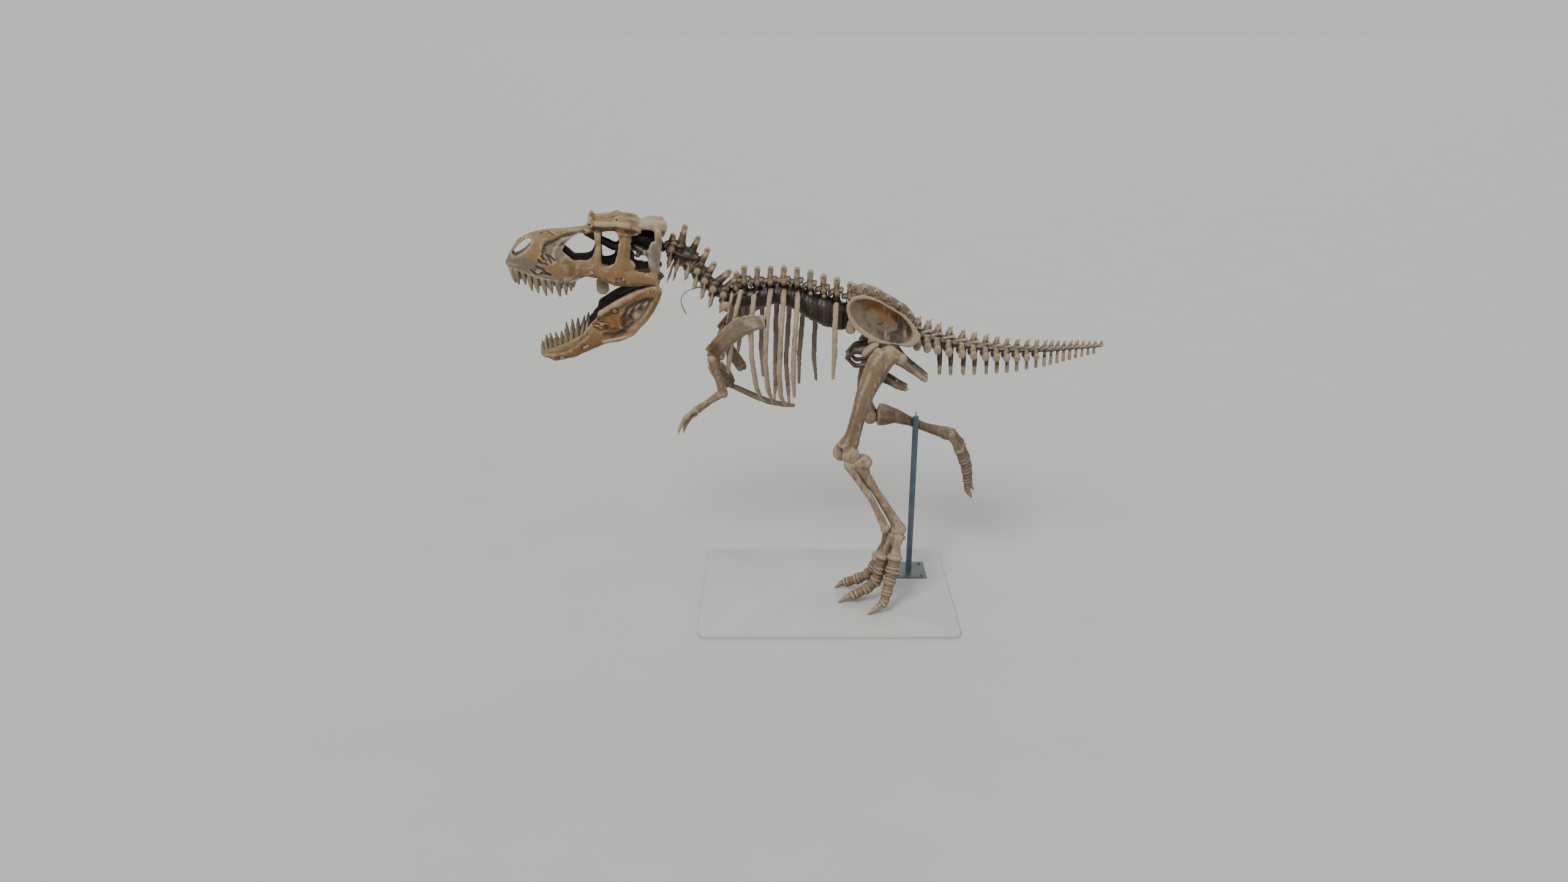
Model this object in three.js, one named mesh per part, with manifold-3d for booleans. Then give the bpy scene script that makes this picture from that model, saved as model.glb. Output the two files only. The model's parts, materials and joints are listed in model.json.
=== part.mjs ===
// Tyrannosaurus skeleton on one leg with a support pipe, as a museum shows it, at life size.
// Millimetres, +Z up, the head towards -X, the animal's left side towards -Y.
import * as THREE from "three";
import { mergeVertices } from "three/addons/utils/BufferGeometryUtils.js";
import Module from "manifold-3d";

const wasm = await Module();
wasm.setup();

// Sizes shared by the whole skeleton
const gap = 0.3;
const trunkYaw = -4.5;
const headYaw = 8;
const hip = new THREE.Vector3(800, 0, 0);
const occiput = new THREE.Vector3(-1026, 100, 0);
const sides = [-1, 1];

// The frame that a piece is built in, and the growth of the copy that seats its neighbour
let place = new THREE.Matrix4();
let grow = 0;

function turned(degrees, pivot, from) {
  return new THREE.Matrix4()
    .makeTranslation(pivot.x, pivot.y, 0)
    .multiply(new THREE.Matrix4().makeRotationZ(THREE.MathUtils.degToRad(degrees)))
    .multiply(new THREE.Matrix4().makeTranslation(-from.x, -from.y, 0));
}

const trunkFrame = turned(trunkYaw, hip, hip);
const headFrame = turned(headYaw, occiput, new THREE.Vector3(occiput.x, 0, 0));

function within(frame, build) {
  const before = place;
  place = before.clone().multiply(frame);
  const built = build();
  place = before;
  return built;
}

function grown(build) {
  grow = gap * 1.6;
  const built = build();
  grow = 0;
  return built;
}

// A closed three.js surface as a solid, its faces outward
function solidOf(geometry) {
  geometry.deleteAttribute("normal");
  geometry.deleteAttribute("uv");
  geometry.applyMatrix4(place);
  const merged = mergeVertices(geometry, 1e-3);
  const points = merged.getAttribute("position").array;
  const faces = Uint32Array.from(merged.getIndex().array);
  const [a, b, c] = [new THREE.Vector3(), new THREE.Vector3(), new THREE.Vector3()];
  let volume = 0;
  for (let i = 0; i < faces.length; i += 3) {
    a.fromArray(points, faces[i] * 3);
    b.fromArray(points, faces[i + 1] * 3);
    c.fromArray(points, faces[i + 2] * 3);
    volume += a.dot(b.cross(c));
  }
  if (volume < 0) {
    for (let i = 0; i < faces.length; i += 3) {
      [faces[i + 1], faces[i + 2]] = [faces[i + 2], faces[i + 1]];
    }
  }
  return new wasm.Manifold(
    new wasm.Mesh({ numProp: 3, vertProperties: Float32Array.from(points), triVerts: faces }),
  );
}

// A loft through equal rings, closed at both ends with a point
function loft(rings, startTip, endTip) {
  const count = rings[0].length;
  const points = [...rings.flat(), startTip, endTip];
  const faces = [];
  for (let r = 0; r + 1 < rings.length; r += 1) {
    for (let k = 0; k < count; k += 1) {
      const [a, b] = [r * count + k, r * count + ((k + 1) % count)];
      faces.push(a, b, b + count, a, b + count, a + count);
    }
  }
  const lastRing = (rings.length - 1) * count;
  for (let k = 0; k < count; k += 1) {
    const next = (k + 1) % count;
    faces.push(next, k, points.length - 2);
    faces.push(lastRing + k, lastRing + next, points.length - 1);
  }
  const geometry = new THREE.BufferGeometry();
  geometry.setAttribute(
    "position",
    new THREE.Float32BufferAttribute(points.flatMap((p) => p.toArray()), 3),
  );
  geometry.setIndex(faces);
  return solidOf(geometry);
}

function softened(value, power) {
  return Math.sign(value) * Math.abs(value) ** power;
}

// Stations are x, y, z, half size across, half size the other way
function resampled(stations, count) {
  const path = new THREE.CatmullRomCurve3(
    stations.map(([x, y, z]) => new THREE.Vector3(x, y, z)),
  );
  const size = new THREE.CatmullRomCurve3(
    stations.map(([, , , a, b = a]) => new THREE.Vector3(a, b, 0)),
  );
  return Array.from({ length: count }, (_, i) => {
    const t = i / (count - 1);
    const [p, s] = [path.getPoint(t), size.getPoint(t)];
    return [p.x, p.y, p.z, Math.max(s.x, 1), Math.max(s.y, 1)];
  });
}

function limb(given, { around = 6, across = [0, 1, 0], dome = 0.5, rings = 0, power = 1 } = {}) {
  const stations = rings ? resampled(given, rings) : given;
  const centres = stations.map(([x, y, z]) => new THREE.Vector3(x, y, z));
  const last = centres.length - 1;
  const tangents = centres.map((_, i) =>
    centres[Math.min(i + 1, last)].clone().sub(centres[Math.max(i - 1, 0)]).normalize(),
  );
  const loops = stations.map(([, , , a, b = a], i) => {
    const second = tangents[i].clone().cross(new THREE.Vector3(...across)).normalize();
    const first = second.clone().cross(tangents[i]).normalize();
    return Array.from({ length: around }, (_, k) => {
      const angle = ((k + (around === 4 ? 0 : 0.5)) / around) * Math.PI * 2;
      return centres[i]
        .clone()
        .addScaledVector(first, (a + grow) * softened(Math.cos(angle), power))
        .addScaledVector(second, (b + grow) * softened(Math.sin(angle), power));
    });
  });
  const reach = (i) => Math.min(stations[i][3], stations[i][4] ?? stations[i][3]) * dome + grow;
  return loft(
    loops,
    centres[0].clone().addScaledVector(tangents[0], -reach(0)),
    centres[last].clone().addScaledVector(tangents[last], reach(last)),
  );
}

function ball([x, y, z], [rx, ry = rx, rz = rx], around = 6) {
  const geometry = new THREE.SphereGeometry(1, around, Math.max(4, around - 3));
  geometry.scale(rx + grow, ry + grow, rz + grow);
  geometry.translate(x, y, z);
  return solidOf(geometry);
}

function tube([x, y, z], radius, height, around = 16) {
  const geometry = new THREE.CylinderGeometry(radius + grow, radius + grow, height + 2 * grow, around);
  geometry.rotateX(Math.PI / 2);
  geometry.translate(x, y, z + height / 2);
  return solidOf(geometry);
}

// An outline in the side view, pushed through from one side to the other
function prism(outline, near, far) {
  const ring = (y) => outline.map(([x, z]) => new THREE.Vector3(x, y, z));
  const [x, z] = outline
    .reduce(([sx, sz], [px, pz]) => [sx + px, sz + pz], [0, 0])
    .map((sum) => sum / outline.length);
  return loft([ring(near), ring(far)], new THREE.Vector3(x, near, z), new THREE.Vector3(x, far, z));
}

function oval(x, z, halfLength, halfWidth, tilt = 0, around = 10) {
  const angle = THREE.MathUtils.degToRad(tilt);
  return Array.from({ length: around }, (_, k) => {
    const t = (k / around) * Math.PI * 2;
    const [u, v] = [halfLength * Math.cos(t), halfWidth * Math.sin(t)];
    return [x + u * Math.cos(angle) - v * Math.sin(angle), z + u * Math.sin(angle) + v * Math.cos(angle)];
  });
}

function joined(pieces) {
  return pieces.reduce((sum, piece) => sum.add(piece));
}

// Only the largest closed surface of a piece is kept
function largest(piece) {
  return piece.decompose().sort((a, b) => b.volume() - a.volume())[0];
}

function without(piece, ...others) {
  return largest(others.reduce((left, other) => left.subtract(other), piece));
}

// The space beyond a flat joint, half the gap past it
function beyond([x, y, z], [nx, ny, nz]) {
  const size = 9000;
  const normal = new THREE.Vector3(nx, ny, nz).normalize();
  const geometry = new THREE.BoxGeometry(size, size, size);
  geometry.translate(0, 0, size / 2 - gap / 2);
  geometry.applyQuaternion(
    new THREE.Quaternion().setFromUnitVectors(new THREE.Vector3(0, 0, 1), normal),
  );
  geometry.translate(x, y, z);
  return solidOf(geometry);
}

function against(point, normal) {
  return beyond(point, normal.map((n) => -n));
}

// Skull
const upperTeeth = {
  front: -2302,
  step: 49,
  lengths: [77, 95, 89, 125, 123, 136, 104, 124, 110, 85, 65],
  radius: 19,
  root: 60,
  inset: 32,
};
const lowerTeeth = {
  front: -2126,
  step: 42,
  lengths: [80, 108, 104, 70, 90, 124, 118, 92, 62, 48],
  radius: 15,
  root: 32,
};

// A tooth is a four-sided spike from a ring sunk in the jaw
function tooth([x, y, z], length, { radius, root }, lean, up) {
  const ring = [0, 1, 2, 3].map((k) => {
    const angle = (k / 2) * Math.PI;
    const [a, b] = [(radius + grow) * Math.cos(angle), (radius * 1.15 + grow) * Math.sin(angle)];
    return new THREE.Vector3(x + b, y + a, z - up * root);
  });
  const tip = new THREE.Vector3(x + lean * 0.1 * length, y, z + up * (length + grow));
  return loft([ring], new THREE.Vector3(x, y, z - up * (root + 8)), tip);
}

function snoutEdge(x) {
  return THREE.MathUtils.mapLinear(Math.abs(x + 1880), 0, 440, 2954, 3066);
}

// Along the snout: position, half width, underside, top
const faceStations = [
  [-2368, 34, 3082, 3128],
  [-2330, 80, 3064, 3198],
  [-2250, 120, 3050, 3306],
  [-2150, 142, 3020, 3358],
  [-2020, 164, 2978, 3379],
  [-1900, 180, 2956, 3388],
  [-1800, 188, 2976, 3392],
  [-1745, 190, 3024, 3394],
  [-1590, 186, 2992, 3410],
];

function faceWidth(x) {
  const i = faceStations.findIndex(([at]) => at > x);
  const [[x0, w0], [x1, w1]] = [faceStations[i - 1], faceStations[i]];
  return THREE.MathUtils.mapLinear(x, x0, x1, w0, w1);
}

function faceLoft(stations, inset, around) {
  const loops = stations.map(([x, width, low, high]) =>
    Array.from({ length: around }, (_, k) => {
      const angle = ((k + 0.5) / around) * Math.PI * 2;
      const square = Math.cos(angle) < 0 ? 0.45 : 0.75;
      const rise = softened(Math.cos(angle), square);
      const taper = 1 - 0.3 * ((rise + 1) / 2) ** 2;
      const half = (high - low) / 2;
      return new THREE.Vector3(
        x,
        (width - inset + grow) * taper * softened(Math.sin(angle), square),
        low + half + (half - inset + grow) * rise,
      );
    }),
  );
  const [first, final] = [stations[0], stations[stations.length - 1]];
  return loft(
    loops,
    new THREE.Vector3(first[0] - 6 - grow, 0, (first[2] + first[3]) / 2),
    new THREE.Vector3(final[0] + 6 + grow, 0, (final[2] + final[3]) / 2),
  );
}

const antorbital = [
  [-1880, 3222], [-1848, 3278], [-1796, 3330], [-1730, 3354], [-1618, 3342],
  [-1602, 3290], [-1636, 3173], [-1678, 3138], [-1800, 3142],
];

function skull() {
  const cavity = faceLoft(
    [
      [-2150, 110, 3110, 3330],
      [-1900, 176, 3048, 3382],
      [-1560, 190, 3030, 3392],
    ],
    26,
    6,
  );
  const nostril = prism(oval(-2216, 3248, 112, 36, 39, 7), -400, 400);
  const face = faceLoft(faceStations, 0, 10)
    .subtract(cavity)
    .subtract(nostril)
    .subtract(prism(antorbital, -400, 400));

  const roof = limb(
    [
      [-1690, 0, 3368, 138, 26],
      [-1600, 0, 3390, 168, 40],
      [-1500, 0, 3396, 172, 38],
      [-1400, 0, 3422, 188, 44],
      [-1300, 0, 3412, 196, 36],
      [-1060, 0, 3384, 186, 34],
      [-1012, 0, 3368, 168, 40],
    ],
    { around: 8, dome: 0.3, power: 0.8 },
  );
  const braincase = limb(
    [
      [-1690, 0, 3344, 30, 32],
      [-1450, 0, 3218, 34, 46],
      [-1330, 0, 3240, 44, 70],
      [-1240, 0, 3262, 84, 110],
      [-1120, 0, 3244, 88, 92],
      [-1068, 0, 3206, 60, 56],
      [-1020, 0, 3192, 36, 36],
    ],
    { around: 6 },
  );
  const palate = limb(
    [
      [-1800, 0, 3040, 150, 20],
      [-1640, 0, 3036, 186, 22],
      [-1500, 0, 3016, 206, 18],
    ],
    { around: 6, dome: 0.3, power: 0.7 },
  );

  const paired = sides.flatMap((s) => [
    // Lacrimal bar
    limb(
      [
        [-1582, s * 168, 3388, 26, 40],
        [-1580, s * 186, 3260, 22, 27],
        [-1604, s * 196, 3080, 24, 46],
      ],
      { around: 5 },
    ),
    // Postorbital bar
    limb([
      [-1350, s * 178, 3400, 28, 70],
      [-1362, s * 202, 3262, 26, 58],
      [-1394, s * 214, 3112, 28, 74],
      [-1400, s * 216, 3000, 28, 80],
    ], { around: 5 }),
    // Cheek bar
    limb(
      [
        [-1780, s * 174, 3062, 26, 58],
        [-1600, s * 202, 3046, 28, 62],
        [-1460, s * 216, 3004, 30, 84],
        [-1320, s * 228, 2984, 30, 76],
        [-1166, s * 237, 2976, 28, 58],
      ],
      { around: 6 },
    ),
    // Quadrate and its plate
    limb(
      [
        [-1085, s * 160, 3388, 24, 34],
        [-1082, s * 200, 3262, 22, 32],
        [-1130, s * 218, 3130, 22, 64],
        [-1110, s * 230, 2990, 24, 28],
        [-1094, s * 226, 2912, 26, 30],
      ],
      { around: 5 },
    ),
    // Palate flap
    limb(
      [
        [-1570, s * 92, 3040, 16, 62],
        [-1572, s * 82, 2920, 13, 60],
        [-1578, s * 76, 2828, 10, 34],
      ],
      { around: 4 },
    ),
    // Brow horns
    ball([-1637, s * 160, 3424], [34, 30, 30], 5),
    ball([-1410, s * 118, 3460], [36, 32, 28], 5),
    limb([[-1070, s * 118, 3380, 30, 42], [-1046, s * 132, 3316, 22, 24]], { around: 5 }),
  ]);

  const teeth = sides.flatMap((s) =>
    upperTeeth.lengths.map((length, i) => {
      const x = upperTeeth.front + upperTeeth.step * i;
      const y = s * (faceWidth(x) - upperTeeth.inset);
      return tooth([x, y, snoutEdge(x)], length, upperTeeth, 0.4, -1);
    }),
  );
  const shape = joined([face, roof, braincase, palate, ...paired, ...teeth]);
  return largest(shape);
}

// Lower jaw: along one side, position, offset from the middle, height, half thickness, half depth
const ramusStations = [
  [-2112, 40, 2318, 34, 34],
  [-2030, 84, 2303, 38, 68],
  [-1863, 126, 2355, 36, 80],
  [-1712, 162, 2438, 34, 88],
  [-1612, 180, 2516, 30, 124],
  [-1480, 194, 2586, 26, 164],
  [-1343, 206, 2668, 26, 158],
  [-1220, 216, 2757, 28, 118],
  [-1145, 222, 2826, 30, 76],
  [-1098, 224, 2894, 28, 40],
];

function jaw() {
  const rami = sides.map((s) =>
    limb(ramusStations.map(([x, y, ...rest]) => [x, s * y, ...rest]), { around: 8 }),
  );
  const chin = limb(
    [[-2096, -52, 2312, 44, 52], [-2110, 0, 2312, 46, 54], [-2096, 52, 2312, 44, 52]],
    { across: [1, 0, 0] },
  );
  const edge = new THREE.CatmullRomCurve3(
    [[-2130, 2352], [-2030, 2366], [-1940, 2400], [-1863, 2436], [-1780, 2486], [-1700, 2566]]
      .map(([x, z]) => new THREE.Vector3(x, 0, z)),
  );
  const teeth = sides.flatMap((s) =>
    lowerTeeth.lengths.map((length, i) => {
      const { x, z } = edge.getPoint(i / (lowerTeeth.lengths.length - 1));
      const across = THREE.MathUtils.mapLinear(x, -2130, -1700, 46, 158);
      return tooth([x, s * across, z - 4], length, lowerTeeth, 0.6, 1);
    }),
  );
  return joined([...rami, chin, ...teeth]);
}

// Neck: centre of each vertebra, tip of its spine, radius
const neckVertebrae = [
  { at: [-968, 3194], tip: [-950, 3300], radius: 56 },
  { at: [-905, 3150], tip: [-846, 3376], radius: 92 },
  { at: [-822, 3086], tip: [-738, 3280], radius: 96 },
  { at: [-752, 3006], tip: [-660, 3176], radius: 78 },
  { at: [-690, 2920], tip: [-606, 3052], radius: 62 },
  { at: [-620, 2846], tip: [-478, 2990], radius: 62 },
  { at: [-530, 2796], tip: [-400, 2950], radius: 64 },
];
const neckOffset = 100;
const neckSplit = [[-787, neckOffset, 3046], [0.62, 0, -0.78]];
const neckRoot = [[-470, neckOffset + 8, 2770], [1, 0, -0.15]];
const neckTop = [[-1012, neckOffset, 3190], [1, 0, -0.2]];

function neckChain(from, to) {
  const used = neckVertebrae.slice(from, to);
  const column = used.flatMap(({ at: [x, z], radius }, i) => {
    const next = neckVertebrae[from + i + 1]?.at ?? [-440, 2765];
    const mix = (t) => [x + (next[0] - x) * t, neckOffset, z + (next[1] - z) * t];
    return [
      [...mix(0), radius * 0.82, radius * 0.86],
      [...mix(0.42), radius, radius * 1.06],
    ];
  });
  const processes = used.flatMap(({ at: [x, z], tip: [tx, tz], radius }) => [
    limb(
      [
        [x, neckOffset, z, 36, 50],
        [tx, neckOffset, tz, 21, 24],
      ],
      { around: 4, dome: 0.7 },
    ),
    ...sides.map((s) =>
      limb(
        [
          [x + 6, neckOffset + s * 50, z - 10, 24, 34],
          [x - 12, neckOffset + s * 100, z - 138, 9, 18],
        ],
        { around: 4, across: [1, 0, 0] },
      ),
    ),
  ]);
  return joined([limb(column, { around: 6, dome: 0.4 }), ...processes]);
}

function neckFront() {
  const rods = sides.flatMap((s) => [
    limb(
      [
        [-928, neckOffset + s * 60, 3108, 9],
        [-985, neckOffset + s * 92, 2990, 9],
        [-1010, neckOffset + s * 96, 2905, 8],
      ],
      { around: 4 },
    ),
    limb(
      [
        [-905, neckOffset + s * 50, 3090, 9],
        [-940, neckOffset + s * 70, 2990, 9],
        [-958, neckOffset + s * 76, 2912, 7],
      ],
      { around: 4 },
    ),
  ]);
  const lead = limb(
    [[-1040, neckOffset, 3206, 50, 52], [-990, neckOffset, 3200, 58, 60], [-930, neckOffset, 3166, 62, 62]],
    { around: 6 },
  );
  return joined([neckChain(0, 3), lead, ...rods]);
}

// Trunk: the column's centre and half depth
const columnStations = [
  [-520, 2775, 62],
  [-400, 2745, 72],
  [-233, 2757, 88],
  [-95, 2788, 78],
  [1, 2786, 84],
  [130, 2750, 96],
  [216, 2700, 112],
  [365, 2652, 130],
  [490, 2612, 122],
  [560, 2606, 112],
];
const trunkVertebrae = {
  first: -349,
  step: 115,
  tops: [3030, 3024, 3030, 3034, 3024, 3000, 2966, 2942, 2905],
};
const columnPath = new THREE.CatmullRomCurve3(
  columnStations.map(([x, z, depth]) => new THREE.Vector3(x, depth, z)),
);

function columnAt(x) {
  const [first, final] = [columnStations[0][0], columnStations[columnStations.length - 1][0]];
  let [low, high] = [0, 1];
  for (let i = 0; i < 24; i += 1) {
    const middle = (low + high) / 2;
    if (columnPath.getPoint(middle).x < THREE.MathUtils.clamp(x, first, final)) {
      low = middle;
    } else {
      high = middle;
    }
  }
  const found = columnPath.getPoint(low);
  return { z: found.z, depth: found.y };
}

// Ribs of one side: from the column out, down and in to the tip
const ribs = {
  "-1": [
    [[-430], [-520, 200, 2830], [-538, 256, 2735], [-565, 262, 2600], [-612, 236, 2420]],
    [[-390], [-430, 225, 2838], [-460, 292, 2700], [-505, 304, 2510], [-535, 282, 2310], [-550, 240, 2190]],
    [[-345], [-350, 240, 2874], [-382, 322, 2735], [-420, 342, 2500], [-455, 312, 2270], [-470, 280, 2150]],
    [
      [-230], [-232, 260, 2864], [-250, 345, 2690], [-262, 362, 2455],
      [-245, 345, 2230], [-215, 262, 1975], [-190, 70, 1822],
    ],
    [
      [-115], [-102, 270, 2850], [-115, 352, 2670], [-135, 366, 2420],
      [-135, 346, 2215], [-118, 262, 1980], [-100, 52, 1798],
    ],
    [
      [0], [15, 270, 2835], [5, 360, 2620], [-10, 376, 2355],
      [-15, 350, 2085], [-5, 250, 1910], [15, 46, 1780],
    ],
    [[115], [135, 270, 2815], [125, 360, 2595], [110, 375, 2360], [105, 358, 2160], [112, 298, 1950]],
    [[456], [460, 240, 2782], [456, 312, 2610], [455, 330, 2360], [446, 306, 2130]],
  ],
  1: [
    [[-430], [-520, 200, 2830], [-538, 256, 2735], [-565, 262, 2600], [-600, 240, 2440]],
    [[-390], [-430, 225, 2838], [-460, 292, 2700], [-500, 304, 2510], [-525, 282, 2310], [-540, 240, 2200]],
    [[-345], [-350, 240, 2874], [-378, 322, 2735], [-410, 342, 2500], [-440, 312, 2270], [-450, 280, 2160]],
    [[-230], [-230, 260, 2864], [-224, 345, 2640], [-245, 362, 2200], [-222, 300, 1935]],
    [[-115], [-102, 270, 2850], [-98, 352, 2620], [-112, 370, 2055], [-104, 290, 1850], [-95, 42, 1800]],
    [[0], [15, 270, 2835], [18, 360, 2590], [-14, 376, 2055], [10, 300, 1850], [42, 36, 1776]],
    [[115], [140, 270, 2800], [140, 360, 2500], [110, 375, 2130], [112, 330, 1862]],
    [[226], [245, 270, 2770], [255, 345, 2440], [245, 358, 2135], [272, 322, 1900]],
  ],
};
const ribRadius = 27;
const bareVertebrae = { "-1": [5, 6, 8], 1: [6, 7, 8] };

function rib(stations, s) {
  const last = stations.length - 1;
  const { z: rootHeight, depth } = columnAt(stations[0][0]);
  const root = [stations[0][0], 16, rootHeight + depth * 0.7];
  const sized = [root, ...stations.slice(1)].map(([x, y, z], i) => {
    const wide = i === 0 ? 1.1 : i === last ? 0.62 : 1;
    return [x, s * y, z, ribRadius * 0.8 * wide, ribRadius * wide];
  });
  return limb(sized, { around: 4, rings: Math.min(last + 1, 6), dome: 0.5 });
}

function trunkSolid() {
  const column = limb(
    trunkVertebrae.tops.flatMap((_, i) => {
      const x = trunkVertebrae.first + trunkVertebrae.step * i;
      const [waist, rim] = [columnAt(x), columnAt(x + 52)];
      return [
        [x, 0, waist.z, waist.depth * 0.72, waist.depth * 0.88],
        [x + 52, 0, rim.z, rim.depth * 0.84, rim.depth * 1.02],
      ];
    }),
    { around: 6 },
  );
  const shoulder = limb([
    [-520, 0, 2778, 56, 62],
    [-440, 0, 2752, 62, 70],
    [-340, 0, 2744, 62, 76],
  ]);
  const foreSpine = limb([[-440, 0, 2770, 26, 34], [-418, 0, 2975, 22, 24]], { around: 4 });
  const spines = trunkVertebrae.tops.map((top, i) => {
    const x = trunkVertebrae.first + trunkVertebrae.step * i;
    const { z, depth } = columnAt(x);
    const foot = z + depth * 0.6;
    return limb(
      [
        [x, 0, foot, 28, 46],
        [x - 4, 0, foot + (top - foot) * 0.55, 18, 30],
        [x, 0, top - 14, 24, 28],
      ],
      { around: 4, dome: 0.7 },
    );
  });
  const wings = sides.flatMap((s) =>
    bareVertebrae[s].map((i) => {
      const x = trunkVertebrae.first + trunkVertebrae.step * i;
      const { z, depth } = columnAt(x);
      return limb(
        [
          [x, s * 10, z + depth * 0.8, 34, 26],
          [x + 12, s * 128, z + depth * 0.95 + 36, 20, 18],
        ],
        { around: 4, across: [1, 0, 0] },
      );
    }),
  );
  const cage = sides.flatMap((s) => ribs[s].map((stations) => rib(stations, s)));
  return joined([column, shoulder, foreSpine, ...spines, ...wings, ...cage]);
}

function trunkHalf(s) {
  return within(trunkFrame, () =>
    trunkSolid()
      .subtract(against([0, 0, 0], [0, s, 0]))
      .subtract(beyond([552, 0, 2600], [1, 0, 0])),
  ).subtract(against(...neckRoot));
}

// Breast bone with its oval plate
function sternum() {
  return within(trunkFrame, () =>
    joined([
      limb(
        [
          [-560, 0, 1972, 30, 24],
          [-414, 0, 1912, 36, 28],
          [-270, 0, 1846, 46, 30],
          [-142, 0, 1798, 48, 28],
          [-20, 0, 1774, 42, 26],
          [92, 0, 1764, 22, 16],
        ],
        { around: 6 },
      ),
      limb([[-606, -70, 2120, 26, 46], [-545, -50, 2030, 28, 74], [-480, -20, 1950, 26, 52]], { around: 4 }),
      limb([[-606, 70, 2120, 26, 46], [-545, 50, 2030, 28, 74], [-480, 20, 1950, 26, 52]], { around: 4 }),
    ]),
  );
}

// Fore limbs
function scapula(s) {
  return within(trunkFrame, () =>
    joined([
      limb(
        [
          [-140, s * 384, 2656, 15, 58],
          [-230, s * 388, 2640, 16, 80],
          [-335, s * 384, 2606, 18, 92],
          [-440, s * 374, 2520, 22, 84],
          [-530, s * 366, 2428, 24, 76],
          [-604, s * 360, 2345, 26, 72],
        ],
        { around: 6 },
      ),
      limb([[-560, s * 330, 2400, 24, 60], [-600, s * 240, 2300, 22, 60], [-590, s * 110, 2150, 20, 40]], {
        around: 6,
        across: [0, 0, 1],
      }),
      limb([[-694, s * 352, 2346, 30], [-662, s * 352, 2292, 24], [-634, s * 352, 2240, 28]], { around: 6 }),
    ]),
  );
}

function humerus(s) {
  const elbow = s < 0 ? [-506, 362, 1998] : [-426, 352, 2024];
  const [ex, ey, ez] = elbow;
  return within(trunkFrame, () =>
    limb(
      [
        [-590, s * 360, 2316, 30, 38],
        [-596, s * 361, 2232, 34, 44],
        [-596 + (ex + 596) * 0.42, s * (361 + (ey - 361) * 0.42), 2232 + (ez - 2232) * 0.42, 24, 26],
        [-596 + (ex + 596) * 0.74, s * (361 + (ey - 361) * 0.74), 2232 + (ez - 2232) * 0.74, 25, 28],
        [ex, s * ey, ez, 34, 44],
        [ex + (ex + 596) * 0.16, s * ey, ez - 34, 28, 32],
      ],
      { around: 6, dome: 0.7 },
    ),
  );
}

function armFrame(s) {
  return s < 0
    ? { elbow: [-534, 362, 1982], wrist: [-734, 352, 1832], lean: [-0.78, -0.62] }
    : { elbow: [-440, 352, 1998], wrist: [-548, 452, 2080], lean: [-0.4, 0.92] };
}

function forearm(s) {
  const { elbow, wrist } = armFrame(s);
  const at = (t, side, up) => [
    elbow[0] + (wrist[0] - elbow[0]) * t,
    s * (elbow[1] + (wrist[1] - elbow[1]) * t) + side,
    elbow[2] + (wrist[2] - elbow[2]) * t + up,
  ];
  return within(trunkFrame, () =>
    joined([
      limb(
        [
          [...at(-0.12, 8, -6), 26, 34],
          [...at(0.15, 8, -4), 24, 30],
          [...at(0.55, 8, 0), 18, 20],
          [...at(0.98, 8, 0), 26, 32],
        ],
        { around: 6 },
      ),
      limb(
        [[...at(-0.02, -14, 8), 18, 20], [...at(0.5, -16, 10), 14, 16], [...at(0.98, -14, 10), 20, 24]],
        { around: 5 },
      ),
    ]),
  );
}

function hand(s) {
  const { wrist, lean } = armFrame(s);
  const [dx, dz] = lean;
  const at = (along, side, drop) => [
    wrist[0] + dx * along,
    s * wrist[1] + side,
    wrist[2] + dz * along - drop,
  ];
  const digit = (side, rise, length, drop) =>
    limb(
      [
        [...at(34, side * 0.5, -rise), 15, 17],
        [...at(78, side, -rise), 12, 13],
        [...at(126, side, -rise + 4), 19, 21],
        [...at(126 + length * 0.4, side, -rise + 14 + drop * 0.2), 12, 15],
        [...at(126 + length * 0.8, side, -rise + 26 + drop * 0.6), 8, 10],
        [...at(126 + length * 0.92, side, -rise + 40 + drop), 3, 3],
      ],
      { around: 4 },
    );
  return within(trunkFrame, () =>
    joined([
      limb([[...at(-14, 0, 0), 28, 30], [...at(46, 0, 2), 26, 27]], { around: 6 }),
      digit(-22, 18, 120, 84),
      digit(22, -26, 56, 74),
    ]),
  );
}

// Hips
const sacrumLine = [
  [520, 2610, 112],
  [640, 2598, 104],
  [780, 2570, 92],
  [920, 2528, 80],
  [1050, 2488, 70],
  [1150, 2462, 60],
];

function sacrum() {
  const tops = [[600, 2890], [700, 2872], [800, 2842], [900, 2792], [1000, 2724], [1095, 2650]];
  return within(trunkFrame, () =>
    joined([
      limb(sacrumLine.map(([x, z, depth]) => [x, 0, z, 90 - (x - 520) * 0.05, depth]), { around: 6 }),
      limb(
        [
          [580, 0, 2720, 30, 80],
          [760, 0, 2700, 30, 90],
          [940, 0, 2620, 26, 80],
          [1090, 0, 2540, 24, 60],
        ],
        { around: 5, power: 0.7 },
      ),
      ...tops.map(([x, top]) =>
        limb([[x, 0, top - 150, 20, 40], [x + 2, 0, top - 14, 20, 24]], { around: 4, dome: 0.7 }),
      ),
      ...[650, 840, 1030].map((x) => {
        const z = THREE.MathUtils.mapLinear(x, 640, 1060, 2650, 2520);
        return limb([[x, -138, z, 44, 32], [x, 138, z, 44, 32]], {
          around: 4,
          across: [1, 0, 0],
        });
      }),
    ]),
  ).subtract(within(trunkFrame, () => against([552, 0, 2600], [1, 0, 0])))
    .subtract(tailCut(0, 1));
}

const iliumOutline = [
  [541, 2756], [592, 2834], [690, 2854], [790, 2826], [920, 2752], [1060, 2674], [1130, 2600], [1184, 2512],
  [1186, 2460], [1106, 2396], [1000, 2414], [870, 2420], [760, 2454], [668, 2514], [600, 2574], [560, 2650],
];

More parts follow.
